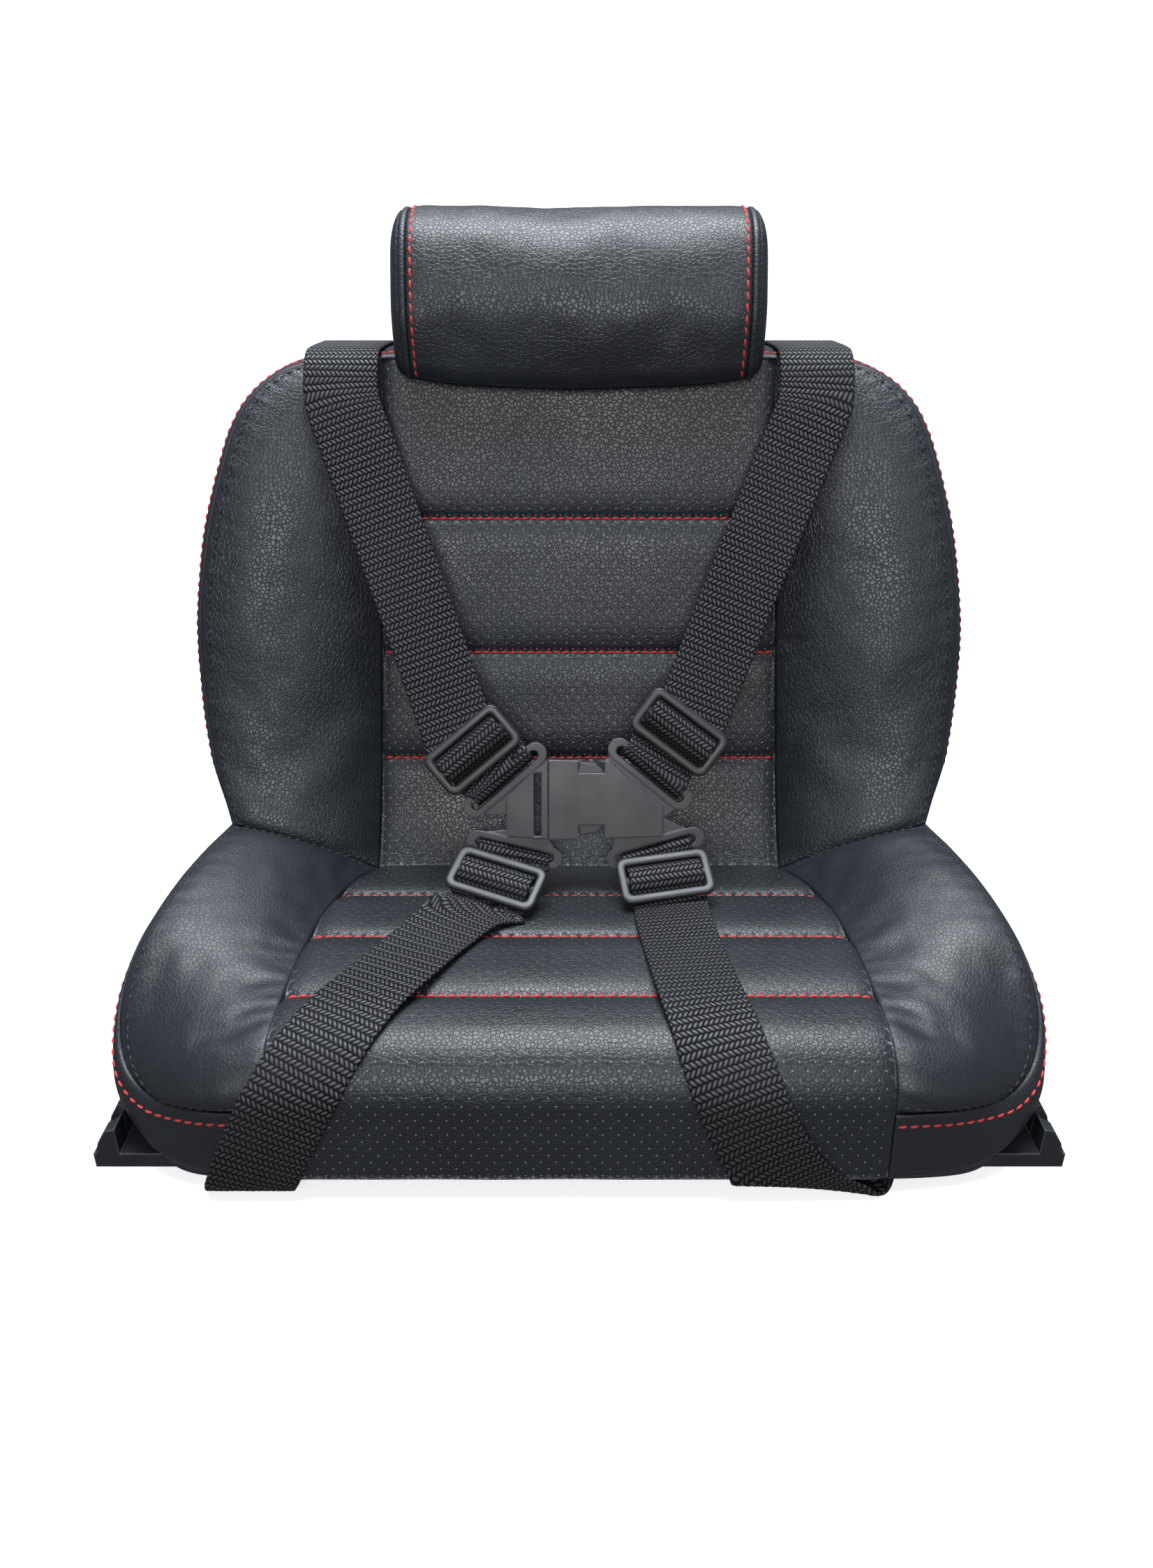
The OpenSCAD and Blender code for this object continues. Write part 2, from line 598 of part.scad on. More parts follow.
module buckle_socket() color(plastic) on_buckle() difference() {
    union() {
        translate([0, 0, -buckle_t / 2])
            linear_extrude(buckle_t)
                polygon([[mouth_x, 16.2], [1.2, 15.8], [23.4, -3.6], [23.4, -15.4], [2.6, -16.2], [mouth_x, -16.8]]);
        translate([0, 0, -ear_web_t / 2])
            linear_extrude(ear_web_t)
                polygon([[-0.5, 15.5], [3, 19.5], [30, -4], [24, -8], [35, -13.5], [36, -17], [5, -25.5],
                    [2.5, -21], [4, -14]]);
        ear_ring(ear_ur);
        ear_ring(ear_lr);
    }
    ear_slot(ear_ur);
    ear_slot(ear_lr);
    // mouth and cavity for the plug
    translate([mouth_x - 1, -cavity_h, -buckle_t / 2 + 1.8])
        cube([cavity_x - mouth_x + 1, 2 * cavity_h, buckle_t - 3.6]);
    // latch windows, open at the edges
    for (s = [-1, 1])
        translate([window_x[0], s > 0 ? 10.8 : -20.8, -buckle_t])
            cube([window_x[1] - window_x[0], 10, 2 * buckle_t]);
}

module buckle_plug() color(plastic) on_buckle() difference() {
    union() {
        translate([0, 0, -buckle_t / 2])
            linear_extrude(buckle_t)
                polygon([[mouth_x - buckle_gap, 15.8], [-29.8, 11.2], [-40.8, 0.8], [-40.4, -15.4],
                    [mouth_x - buckle_gap, -16.6]]);
        translate([0, 0, -ear_web_t / 2])
            linear_extrude(ear_web_t)
                polygon([[-24.5, 15.5], [-27, 21], [-54, -1.5], [-50, -7], [-40, -7], [-40, -13], [-53, -14],
                    [-54, -20], [-23, -27.5], [-19.5, -23], [-24.5, -15]]);
        ear_ring(ear_ul);
        ear_ring(ear_ll);
        // guide tongue
        translate([mouth_x - 1, -5, -2.2])
            cube([23, 10, 4.4]);
    }
    ear_slot(ear_ul);
    ear_slot(ear_ll);
    translate([-29.4, -15.2, -buckle_t])
        cube([3, 26, 2 * buckle_t]);
    // pockets where the latch arms are rooted
    for (s = [-1, 1])
        translate([arm_root[0] - 3, s * arm_root[1] - 2.2, -2.6])
            cube([6, 4.4, 5.2]);
}

module latch_arm() {
    translate(concat(arm_root, -2))
        cylinder(h = 4, r = 1.7);
    translate([0, 0, -2])
        linear_extrude(4)
            polygon([[arm_root[0], 8.6], [arm_root[0], 10.6], [-12.5, 12.2], [-11, 12.6], [-10.5, 15.2],
                [-4, 14.4], [-1.2, 12], [-1.2, 10], [-12, 9.6]]);
}

module latch_arm_upper() color(plastic) on_buckle() latch_arm();
module latch_arm_lower() color(plastic) on_buckle() mirror([0, 1, 0]) latch_arm();

// ---------- anchors ----------

module at_anchors() {
    for (s = [-1, 1])
        translate([s * shoulder_x, rear_y(shoulder_anchor_z), shoulder_anchor_z])
            rotate([-90 - atan(rear_lean), 0, 0])
                translate([0, 0, 6])
                    children();
    for (a = lap_anchor)
        translate([a[0], a[1], 7.0])
            rotate([180, 0, 0])
                children();
}

module anchor_washers() color("dimgray") at_anchors() difference() {
    cylinder(h = 1, r = 7);
    translate([0, 0, -1])
        cylinder(h = 3, r = 2.2);
}

module anchor_screws() color("dimgray") at_anchors() {
    translate([0, 0, -5])
        cylinder(h = 6.1, r = 1.55);
    translate([0, 0, 1.1])
        difference() {
            cylinder(h = 2.4, r = 3.6);
            for (a = [0, 90])
                rotate([0, 0, a])
                    translate([-2, -0.4, 1.4])
                        cube([4, 0.8, 2]);
        }
}

seat_shell();
pan_foam();
back_foam();
headrest_foam();
pan_centre_panel();
pan_bolster_left();
pan_bolster_right();
back_centre_panel();
back_bolster_left();
back_bolster_right();
pan_skirt_left();
pan_skirt_right();
back_side_left();
back_side_right();
rear_panel();
hem_elastic();
headrest_cover();
headrest_cap_left();
headrest_cap_right();
shoulder_strap_left();
shoulder_strap_right();
lap_strap_left();
lap_strap_right();
shoulder_loop_left();
shoulder_loop_right();
lap_loop_left();
lap_loop_right();
shoulder_slider_left();
shoulder_slider_right();
lap_slider_left();
lap_slider_right();
buckle_socket();
buckle_plug();
latch_arm_upper();
latch_arm_lower();
anchor_washers();
anchor_screws();
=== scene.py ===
# Looks of the racing seat: upholstery, stitching, webbing and plastic around the CAD frame.
import math

import bpy
import numpy as np
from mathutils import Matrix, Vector, noise


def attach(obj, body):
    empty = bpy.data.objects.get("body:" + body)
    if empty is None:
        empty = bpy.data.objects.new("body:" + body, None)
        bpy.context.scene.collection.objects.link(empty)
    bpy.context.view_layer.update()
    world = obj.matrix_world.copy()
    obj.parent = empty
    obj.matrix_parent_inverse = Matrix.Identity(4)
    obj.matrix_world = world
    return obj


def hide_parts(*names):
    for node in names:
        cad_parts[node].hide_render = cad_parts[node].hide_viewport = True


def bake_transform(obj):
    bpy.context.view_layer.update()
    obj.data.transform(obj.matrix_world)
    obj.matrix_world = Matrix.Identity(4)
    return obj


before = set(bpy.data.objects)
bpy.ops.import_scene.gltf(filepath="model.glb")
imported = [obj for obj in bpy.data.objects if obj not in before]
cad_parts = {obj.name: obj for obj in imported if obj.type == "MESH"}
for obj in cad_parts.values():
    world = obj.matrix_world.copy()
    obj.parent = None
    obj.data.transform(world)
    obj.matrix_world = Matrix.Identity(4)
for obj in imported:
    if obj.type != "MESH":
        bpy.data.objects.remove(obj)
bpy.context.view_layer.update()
MM = 0.001
X = np.array([1.0, 0.0, 0.0])
SIDES = ((-1, "left"), (1, "right"))


# ---------- curves of the seat, in mm ----------

def unit(v):
    v = np.asarray(v, float)
    return v / np.maximum(np.linalg.norm(v, axis=-1, keepdims=True), 1e-9)


def clamp(t):
    return np.clip(t, 0.0, 1.0)


def spline(points, t):
    """Smooth curve through the points, at t from 0 to 1; t may be an array."""
    p = np.asarray(points, float)
    n = len(p) - 1
    t = np.asarray(t, float)
    k = np.clip(np.floor(t * n).astype(int), 0, n - 1)
    u = (t * n - k).reshape(t.shape + (1,) * (p.ndim - 1))
    a, b, c, d = p[np.maximum(k - 1, 0)], p[k], p[k + 1], p[np.minimum(k + 2, n)]
    return 0.5 * (2 * b + (c - a) * u + (2 * a - 5 * b + 4 * c - d) * u ** 2
                  + (3 * b - a - 3 * c + d) * u ** 3)


def run_along(points):
    """Distance along a line to each of its points."""
    steps = np.linalg.norm(np.diff(points, axis=0), axis=1)
    return np.concatenate([[0], np.cumsum(steps)])


def read_at(where, run, field):
    """The rows of a field at given distances along a line."""
    return np.stack([np.interp(where, run, field[:, k]) for k in range(field.shape[1])], axis=1)


def net(rows, cols, low=0.0, high=1.0):
    """Grids of fractions down the rows and along the columns."""
    return np.meshgrid(np.linspace(low, high, rows), np.linspace(0, 1, cols), indexing="ij")


# the cushion meets the backrest at (y, z) = (CREASE_Y, BACK_LOW)
CREASE_Y = 20
BACK_LOW = 42
BACK_TOP = 247
# the cushion's middle line is level to the first fraction, rolls over to the second and drops to the hem
LEVEL_END = 0.68
ROLL_END = 0.84
ROLL_Y = -104
ROLL_RADIUS = 20
ROLL_Z = 34.5


def back_y(z):
    return CREASE_Y + 0.24 * (z - BACK_LOW) + 14 * (1 - np.exp((BACK_LOW - z) / 18))


def rear_y(z):
    return 60 + 0.27 * z


def back_half(z):
    return 88 - 0.035 * (z - BACK_LOW)


def pan_z(y):
    return BACK_LOW + 12.5 * np.sin(math.pi / 2 * (CREASE_Y - y) / (CREASE_Y - ROLL_Y))


def pan_half(y):
    return 88 + 17 * (1 - np.exp((y - CREASE_Y) / 25))


def back_z(t):
    return BACK_LOW + (BACK_TOP - BACK_LOW) * t


def pan_line(t):
    """Middle line of the cushion: the top, the front roll and the drop to the hem."""
    t = np.asarray(t, float)
    top = CREASE_Y - (CREASE_Y - ROLL_Y) * t / LEVEL_END
    turn = math.pi / 2 * clamp((t - LEVEL_END) / (ROLL_END - LEVEL_END))
    drop = clamp((t - ROLL_END) / (1 - ROLL_END))
    roll_y, roll_z = ROLL_Y - ROLL_RADIUS * np.sin(turn), ROLL_Z + ROLL_RADIUS * np.cos(turn)
    y = np.where(t < LEVEL_END, top, np.where(t < ROLL_END, roll_y, ROLL_Y - ROLL_RADIUS - 3 * drop))
    z = np.where(t < LEVEL_END, pan_z(top), np.where(t < ROLL_END, roll_z, ROLL_Z - 25.5 * drop))
    return y, z


PAN_EDGE = [[147, 12, 69], [151, -14, 71], [155.5, -40, 70], [160, -66, 64],
            [163, -84, 52], [160.5, -98, 40], [153, -108, 34], [141, -116, 32]]
BACK_EDGE = [[147, 12, 69], [154, 24, 92], [157.5, 35, 122], [157, 42, 150], [152.5, 51, 180],
             [145.5, 60, 206], [137, 70, 228], [124, 78, 240.5], [106, 82.5, 245.5]]
REAR_EDGE = [[143, 73, 60], [150, 85, 92], [153, 94, 122], [152, 102, 150], [148, 110, 180],
             [141, 117, 206], [132, 122, 228], [120, 125, 240.5], [102, 126, 245.5]]
HEM_EDGE = [[141, 72, 21], [149, 12, 21], [157, -40, 21], [161.5, -80, 21],
            [160, -100, 19], [151, -113, 14], [136, -122, 9], [105.6, -126.6, 8]]
SKIRT_TOP = [REAR_EDGE[0]] + PAN_EDGE + [[125, -122.5, 33], [105.4, -125.5, 34]]
BAND_FRONT = BACK_EDGE + [[73.8, back_y(BACK_TOP), 247.5]]
HEAD_HALF = 67.0
HEAD_MID = np.array([95.0, 273.0])
HEAD_RING = [[69, 240.5], [80, 244], [88, 250.5], [122, 250.5], [130.5, 269], [123, 293],
             [98, 303.5], [75, 295.5], [63, 268], [65, 248]]


def rounded(t, reach):
    """0 at a seam, rising like a stuffed edge to 1 at the given reach."""
    return np.sqrt(np.maximum(1 - (1 - clamp(t / reach)) ** 2, 0))


def wander(points, scale, seed):
    """Slow unevenness between -1 and 1 at each point."""
    shift = Vector((seed * 3.1, seed * 1.7, seed * 2.3))
    flat = points.reshape(-1, 3) / scale
    values = [noise.noise(Vector(p) + shift) for p in flat]
    return np.array(values).reshape(points.shape[:-1])


# ---------- meshes ----------

# a strap's UV map counts in units of this many mm
UV_UNIT = 100.0


def tune(target, **settings):
    for name, value in settings.items():
        setattr(target, name, value)


def mesh_object(name, verts, faces, materials, body, face_material=None, uv=None, merge=0.0):
    """A smooth mesh from points in mm that rides with a body."""
    mesh = bpy.data.meshes.new(name)
    mesh.from_pydata((np.asarray(verts, float) * MM).tolist(), [], [list(map(int, f)) for f in faces])
    if face_material is not None:
        mesh.polygons.foreach_set("material_index", np.asarray(face_material, np.int32))
    if uv is not None:
        layer = mesh.uv_layers.new(name="UVMap")
        index = np.empty(len(mesh.loops), np.int32)
        mesh.loops.foreach_get("vertex_index", index)
        layer.data.foreach_set("uv", (np.asarray(uv, float) / UV_UNIT)[index].ravel())
    for m in materials:
        mesh.materials.append(m)
    mesh.validate()
    mesh.polygons.foreach_set("use_smooth", [True] * len(mesh.polygons))
    obj = bpy.data.objects.new(name, mesh)
    bpy.context.scene.collection.objects.link(obj)
    if merge:
        obj.modifiers.new("weld", "WELD").merge_threshold = merge * MM
    if body:
        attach(obj, body)
    return obj


def grid_normals(grid):
    return unit(np.cross(np.gradient(grid, axis=0), np.gradient(grid, axis=1)))


def grid_faces(rows, cols, start=0, flip=False):
    i, j = np.meshgrid(np.arange(rows - 1), np.arange(cols - 1), indexing="ij")
    a = (start + i * cols + j).ravel()
    quads = np.stack([a, a + cols, a + cols + 1, a + 1], axis=1)
    return quads[:, ::-1] if flip else quads


def sheet_faces(rows, cols, flip):
    """Faces of a grid and of a second grid behind it, whose vertices follow."""
    return grid_faces(rows, cols, 0, flip).tolist() + grid_faces(rows, cols, rows * cols, not flip).tolist()


def rim_faces(rows, cols, shift, flip=False):
    """Faces between the borders of two grids whose vertices are shift apart."""
    ring = ([j for j in range(cols)] + [i * cols + cols - 1 for i in range(1, rows)]
            + [(rows - 1) * cols + j for j in range(cols - 2, -1, -1)]
            + [i * cols for i in range(rows - 2, 0, -1)])
    quads = [[a, b, b + shift, a + shift] for a, b in zip(ring, ring[1:] + ring[:1])]
    return [q[::-1] for q in quads] if flip else quads


def tube_faces(rings, sides, start=0, flip=False):
    """Faces of a tube through rings of points, with a face at each end."""
    i, j = np.meshgrid(np.arange(rings - 1), np.arange(sides), indexing="ij")
    a, b = (start + i * sides + j).ravel(), (start + i * sides + (j + 1) % sides).ravel()
    ends = [[start + k for k in range(sides)][::-1], [start + (rings - 1) * sides + k for k in range(sides)]]
    faces = np.stack([a, b, b + sides, a + sides], axis=1).tolist() + ends
    return [f[::-1] for f in faces] if flip else faces


LEATHER_THICK = 1.4


class Cover:
    """A sewn leather patch: a grid of points on its outer face, with the outward normals."""

    def __init__(self, grid, outward):
        n = grid_normals(grid)
        middle = n[n.shape[0] // 2, n.shape[1] // 2]
        self.flip = float(np.dot(middle, outward)) < 0
        self.grid = grid
        self.normal = -n if self.flip else n

    def lift(self, height):
        self.grid = self.grid + self.normal * height[..., None]
        n = grid_normals(self.grid)
        self.normal = -n if self.flip else n
        return self

    def closed(self, back):
        """Vertices and faces of the patch closed by a second grid behind it."""
        rows, cols = self.grid.shape[:2]
        verts = np.concatenate([self.grid.reshape(-1, 3), back.reshape(-1, 3)])
        return verts, sheet_faces(rows, cols, self.flip) + rim_faces(rows, cols, rows * cols, self.flip)

    def build(self, name, material):
        verts, faces = self.closed(self.grid - self.normal * LEATHER_THICK)
        return mesh_object(name, verts, faces, [material], "root")

    def at(self, s, t):
        """Points and normals at fractions s down the rows and t along the columns."""
        s, t = np.broadcast_arrays(np.asarray(s, float), np.asarray(t, float))
        i, j = s * (self.grid.shape[0] - 1), t * (self.grid.shape[1] - 1)
        i0 = np.clip(i.astype(int), 0, self.grid.shape[0] - 2)
        j0 = np.clip(j.astype(int), 0, self.grid.shape[1] - 2)
        u, v = (i - i0)[..., None], (j - j0)[..., None]

        def mix(f):
            return ((f[i0, j0] * (1 - u) + f[i0 + 1, j0] * u) * (1 - v)
                    + (f[i0, j0 + 1] * (1 - u) + f[i0 + 1, j0 + 1] * u) * v)
        return mix(self.grid), unit(mix(self.normal))


def resample(field, rows, cols):
    """A grid of values drawn smoothly through a coarser one."""
    field = spline(field, np.linspace(0, 1, rows))
    return np.swapaxes(spline(np.swapaxes(field, 0, 1), np.linspace(0, 1, cols)), 0, 1)


def stuffed(grid, outward, depth, push, loose, limit, smooth):
    """How far a cloth simulation pushes each point of a patch that is sewn down along its border
    and over a pinned back, with the stuffing as a pressure from inside."""
    cover = Cover(grid, outward)
    rows, cols = grid.shape[:2]
    count = rows * cols
    verts, faces = cover.closed(grid - cover.normal * depth)
    obj = mesh_object("stuffing", verts, faces, [], None)
    inner = np.zeros((rows, cols), bool)
    inner[1:-1, 1:-1] = True
    pinned = [int(k) for k in np.flatnonzero(~inner.ravel())] + list(range(count, 2 * count))
    group = obj.vertex_groups.new(name="sewn")
    group.add(pinned, 1.0, "REPLACE")
    cloth = obj.modifiers.new("cloth", "CLOTH")
    tune(cloth.settings, quality=6, mass=0.15, tension_stiffness=20, compression_stiffness=12,
         shear_stiffness=8, bending_stiffness=4.0, use_pressure=True, uniform_pressure_force=push,
         vertex_group_mass="sewn", shrink_min=-loose)
    cloth.settings.effector_weights.gravity = 0
    cloth.collision_settings.use_collision = False
    frames = 20
    tune(cloth.point_cache, frame_start=1, frame_end=frames)
    scene = bpy.context.scene
    for f in range(1, frames + 1):
        scene.frame_set(f)
    done = obj.evaluated_get(bpy.context.evaluated_depsgraph_get()).to_mesh()
    co = np.empty(len(done.vertices) * 3)
    done.vertices.foreach_get("co", co)
    moved = co.reshape(-1, 3)[:count].reshape(rows, cols, 3) / MM - grid
    for _ in range(smooth):
        inside = moved[:-2, 1:-1] + moved[2:, 1:-1] + moved[1:-1, :-2] + moved[1:-1, 2:]
        moved[1:-1, 1:-1] = 0.4 * moved[1:-1, 1:-1] + 0.15 * inside
    scene.frame_set(1)
    bpy.data.objects.remove(obj)
    far = np.linalg.norm(moved, axis=-1, keepdims=True)
    return moved * np.minimum(1, limit / np.maximum(far, 1e-6))


# ---------- stitches ----------

# pitch, length and radius of the threads, in mm; some have a slant and a lift too
BOLSTER_STITCH = (3.6, 2.9, 0.36)
BAND_STITCH = (4.0, 3.3, 0.4)
REAR_STITCH = (4.0, 3.2, 0.4)
SKIRT_STITCH = (4.0, 3.3, 0.48, 0.12)
QUILT_STITCH = (3.75, 3.6, 0.58, 0.14, 0.6)
HEADREST_STITCH = (4.2, 3.8, 0.5, 0.1)
RED_ROWS, BLACK_ROWS = [], []


def stitch_row(points, normals, pitch, length, radius, slant=0.0, lift=0.0):
    """Vertices and faces of threads laid one after another along a curve."""
    points = np.asarray(points, float)
    run = run_along(points)
    count = max(1, int(run[-1] / pitch))
    at = (np.arange(count) + 0.5) * run[-1] / count
    mid, up = read_at(at, run, points), unit(read_at(at, run, np.asarray(normals, float)))
    ahead = unit(read_at(at + 0.5, run, points) - read_at(at - 0.5, run, points))
    side = unit(np.cross(up, ahead))
    ahead = unit(ahead + side * slant)
    side = unit(np.cross(up, ahead))
    place = np.array([-0.5, -0.42, -0.22, 0.0, 0.22, 0.42, 0.5]) * length
    width = np.array([0.25, 0.75, 1.0, 1.05, 1.0, 0.75, 0.25]) * radius
    drop = np.array([-1.1, -0.45, 0.05, 0.2, 0.05, -0.45, -1.1]) * radius
    angle = np.arange(6) * math.pi / 3
    rings = (mid[:, None, None] + ahead[:, None, None] * place[None, :, None, None]
             + up[:, None, None] * (drop + lift)[None, :, None, None]
             + side[:, None, None] * (width[:, None] * np.cos(angle))[None, :, :, None]
             + up[:, None, None] * (width[:, None] * np.sin(angle))[None, :, :, None])
    one = tube_faces(7, 6)
    return rings.reshape(-1, 3), [[v + k * 42 for v in f] for k in range(count) for f in one]


def sewn(name, rows, material):
    """One piece holding every thread of several rows of stitches."""
    verts, faces, start = [], [], 0
    for v, f in rows:
        verts.append(v)
        faces += [[k + start for k in face] for face in f]
        start += len(v)
    obj = mesh_object(name, np.concatenate(verts), faces, [material], "root")


# ---------- materials ----------

def shade(colour, factor):
    return tuple(c * factor for c in colour[:3]) + (1.0,)


class Shader:
    """A principled material with short ways to add nodes."""

    def __init__(self, name, roughness, metallic=0.0):
        self.material = bpy.data.materials.new(name)
        self.material.use_nodes = True
        self.tree = self.material.node_tree
        self.bsdf = self.tree.nodes["Principled BSDF"]
        self.bsdf.inputs["Roughness"].default_value = roughness
        self.bsdf.inputs["Metallic"].default_value = metallic
        self.place = self.tree.nodes.new("ShaderNodeTexCoord")

    def put(self, socket, value):
        if isinstance(value, bpy.types.NodeSocket):
            self.tree.links.new(value, socket)
        else:
            socket.default_value = value

    def node(self, kind, inputs, out=0, **settings):
        n = self.tree.nodes.new("ShaderNode" + kind)
        tune(n, **settings)
        for k, v in inputs.items():
            self.put(n.inputs[k], v)
        return n.outputs[out]

    def math(self, operation, a, b=0.0):
        return self.node("Math", {0: a, 1: b}, operation=operation)

    def times(self, a, b):
        return self.math("MULTIPLY", a, b)

    def wave(self, phase, power):
        """Ridges one unit of phase apart, between 0 and 1."""
        ridge = self.math("ABSOLUTE", self.math("SINE", self.times(phase, math.pi)))
        return self.math("POWER", ridge, power)

    def noise(self, scale, detail=2.0):
        where = self.place.outputs["Object"]
        return self.node("TexNoise", {"Vector": where, "Scale": scale, "Detail": detail})

    def span(self, value, a, b, low=0.0, high=1.0):
        return self.node("MapRange", {0: value, 1: a, 2: b, 3: low, 4: high})

    def colour(self, factor, a, b):
        n = self.tree.nodes.new("ShaderNodeMix")
        n.data_type = "RGBA"
        self.put(n.inputs[0], factor)
        self.put(n.inputs[6], a)
        self.put(n.inputs[7], b)
        return n.outputs[2]

    def base(self, value):
        self.put(self.bsdf.inputs["Base Color"], value)

    def rough(self, value):
        self.put(self.bsdf.inputs["Roughness"], value)

    def bump(self, *layers, start=None):
        """Each layer is (height, strength, distance in metres)."""
        normal = start
        for height, strength, distance in layers:
            inputs = {"Height": height, "Strength": strength, "Distance": distance}
            if normal is not None:
                inputs["Normal"] = normal
            normal = self.node("Bump", inputs)
        self.put(self.bsdf.inputs["Normal"], normal)


def leather(name, grain, base, roughness=0.44):
    m = Shader(name, roughness)
    warp = m.node("TexNoise", {"Vector": m.place.outputs["Object"], "Scale": 420.0, "Detail": 2.0}, out=1)
    place = m.node("VectorMath", {0: m.place.outputs["Object"],
                                  1: m.node("VectorMath", {0: warp, "Scale": 0.0009}, operation="SCALE")})
    cells = m.node("TexVoronoi", {"Vector": place, "Scale": 620.0}, feature="DISTANCE_TO_EDGE")
    pebbles = m.span(cells, 0.0, 0.16)
    fine = m.noise(2600.0, 3.0)
    patches = m.noise(16.0, 3.0)
    # lighter on convex edges and ridges
    convex = m.span(m.node("NewGeometry", {}, out=7), 0.505, 0.56)
    creases = m.math("SUBTRACT", 1.0, pebbles)
    dark = shade(base, 0.72)
    tone = m.colour(m.span(patches, 0.35, 0.7), dark, base)
    tone = m.colour(m.times(creases, 0.6), tone, dark)
    m.base(m.colour(m.times(convex, 0.5), tone, shade(base, 1.5)))
    m.rough(m.math("ADD", m.span(patches, 0.3, 0.7, roughness - 0.05, roughness + 0.05),
                   m.times(creases, 0.12)))
    m.bump((pebbles, grain, 0.00026), (fine, 0.2, 0.00005))
    return m.material


def thread(name, base, roughness=0.6):
    m = Shader(name, roughness)
    ply = m.node("TexWave", {"Vector": m.place.outputs["Object"], "Scale": 900.0, "Distortion": 2.0})
    m.base(m.colour(m.times(ply, 0.45), base, shade(base, 0.45)))
    m.bump((ply, 0.5, 0.00008))
    return m.material


# herringbone weave of the straps: width of a rib and length of a row in mm, lean of a row in ribs
RIB = 1.9
ROW = 2.5
ROW_LEAN = 0.9


def webbing(name, base):
    """The same weave as in strap(), from the UV map, with painted shade in its gaps and painted glints on
    its raised picks.
    """
    m = Shader(name, 0.5)
    across = m.times(m.node("SeparateXYZ", {0: m.place.outputs["UV"]}), UV_UNIT / RIB)
    pick = m.times(m.node("SeparateXYZ", {0: m.place.outputs["UV"]}, out=1), UV_UNIT / ROW)
    f = m.math("FRACT", pick)
    odd = m.times(m.math("MODULO", m.math("FLOOR", pick), 2.0), 0.5)
    lean = m.times(m.math("SUBTRACT", f, 0.5), m.times(m.math("SUBTRACT", odd, 0.25), 4 * ROW_LEAN))
    phase = m.math("ADD", m.math("ADD", across, odd), lean)
    weave = m.times(m.wave(phase, 0.7), m.wave(f, 0.5))
    fuzz = m.noise(3200.0, 3.0)
    patches = m.noise(30.0, 2.0)
    # painted shade in the gaps of the weave and painted glints on its raised picks
    tone = m.colour(m.span(weave, 0.35, 1.0), shade(base, 0.12), shade(base, 2.1))
    m.base(m.colour(m.span(patches, 0.35, 0.65, 0.0, 0.3), tone, base))
    m.rough(m.math("ADD", m.span(weave, 0.3, 1.0, 0.8, 0.42), m.times(fuzz, 0.08)))
    m.put(m.bsdf.inputs["Specular IOR Level"], m.span(weave, 0.3, 0.9, 0.1, 0.6))
    m.bump((weave, 0.8, 0.0003), (fuzz, 0.3, 0.00006))
    return m.material


def ribbed(name, base):
    m = Shader(name, 0.62)
    along = m.node("SeparateXYZ", {0: m.place.outputs["UV"]}, out=1)
    rib = m.wave(m.times(along, UV_UNIT / 1.1), 1.0)
    fuzz = m.noise(2500.0, 2.0)
    m.base(m.colour(m.times(rib, 0.6), shade(base, 0.5), base))
    m.bump((rib, 0.8, 0.0003), (fuzz, 0.3, 0.00006))
    return m.material


def plastic(name, base, roughness, grain):
    """Grained plastic whose edges carry a painted highlight and catch the light as if rounded."""
    m = Shader(name, roughness)
    fine = m.noise(2400.0, 2.0)
    smears = m.noise(45.0, 4.0)
    soft = m.node("Bevel", {"Radius": 0.001}, samples=6)
    true = m.node("NewGeometry", {}, out=1)
    likeness = m.node("VectorMath", {0: soft, 1: true}, out=1, operation="DOT_PRODUCT")
    edge = m.span(likeness, 0.999, 0.86)
    tone = m.colour(m.span(smears, 0.35, 0.65, 0.0, 0.4), base, shade(base, 1.35))
    # painted highlight: the base colour turns much lighter along the edges
    m.base(m.colour(m.times(edge, 0.85), tone, shade(base, 6.5)))
    m.rough(m.math("SUBTRACT", m.span(smears, 0.3, 0.7, roughness - 0.06, roughness + 0.08),
                   m.times(edge, 0.12)))
    m.bump((fine, grain, 0.00008), start=soft)
    return m.material


def foam(name, base):
    m = Shader(name, 0.9)
    cells = m.node("TexVoronoi", {"Vector": m.place.outputs["Object"], "Scale": 900.0})
    m.base(m.colour(m.span(cells, 0.0, 0.8), shade(base, 0.55), base))
    m.bump((cells, 0.7, 0.0004))
    return m.material


def steel(name):
    m = Shader(name, 0.34, 1.0)
    brushed = m.noise(700.0, 3.0)
    m.base(m.colour(brushed, (0.42, 0.42, 0.44, 1), (0.62, 0.61, 0.58, 1)))
    m.rough(m.span(brushed, 0.3, 0.7, 0.28, 0.46))
    m.bump((brushed, 0.15, 0.00005))
    return m.material


LEATHER = leather("leather", 0.4, (0.016, 0.0195, 0.0255, 1), 0.38)
SMOOTH = leather("leather_smooth", 0.24, (0.016, 0.0190, 0.0245, 1), 0.42)
PERFORATED = leather("leather_perforated", 0.32, (0.015, 0.018, 0.0225, 1), 0.39)
LINING = foam("lining", (0.42, 0.43, 0.45, 1))
RED = thread("red_thread", (0.62, 0.045, 0.04, 1))
BLACK = thread("black_thread", (0.012, 0.013, 0.016, 1), 0.5)
WEBBING = webbing("webbing", (0.020, 0.021, 0.024, 1))
ELASTIC = ribbed("elastic", (0.022, 0.026, 0.040, 1))
FOAM = foam("foam", (0.35, 0.35, 0.37, 1))
HARNESS = plastic("harness_plastic", (0.017, 0.018, 0.0205, 1), 0.42, 0.25)
SHELL = plastic("shell_plastic", (0.014, 0.0155, 0.019, 1), 0.42, 0.6)
STEEL = steel("steel")

# ---------- bolsters ----------



# rough size of the bolsters' covers, in mm
PAN_WIDTH, PAN_LENGTH = 50.0, 150
SIDE_WIDTH, SIDE_LENGTH = 60.0, 210


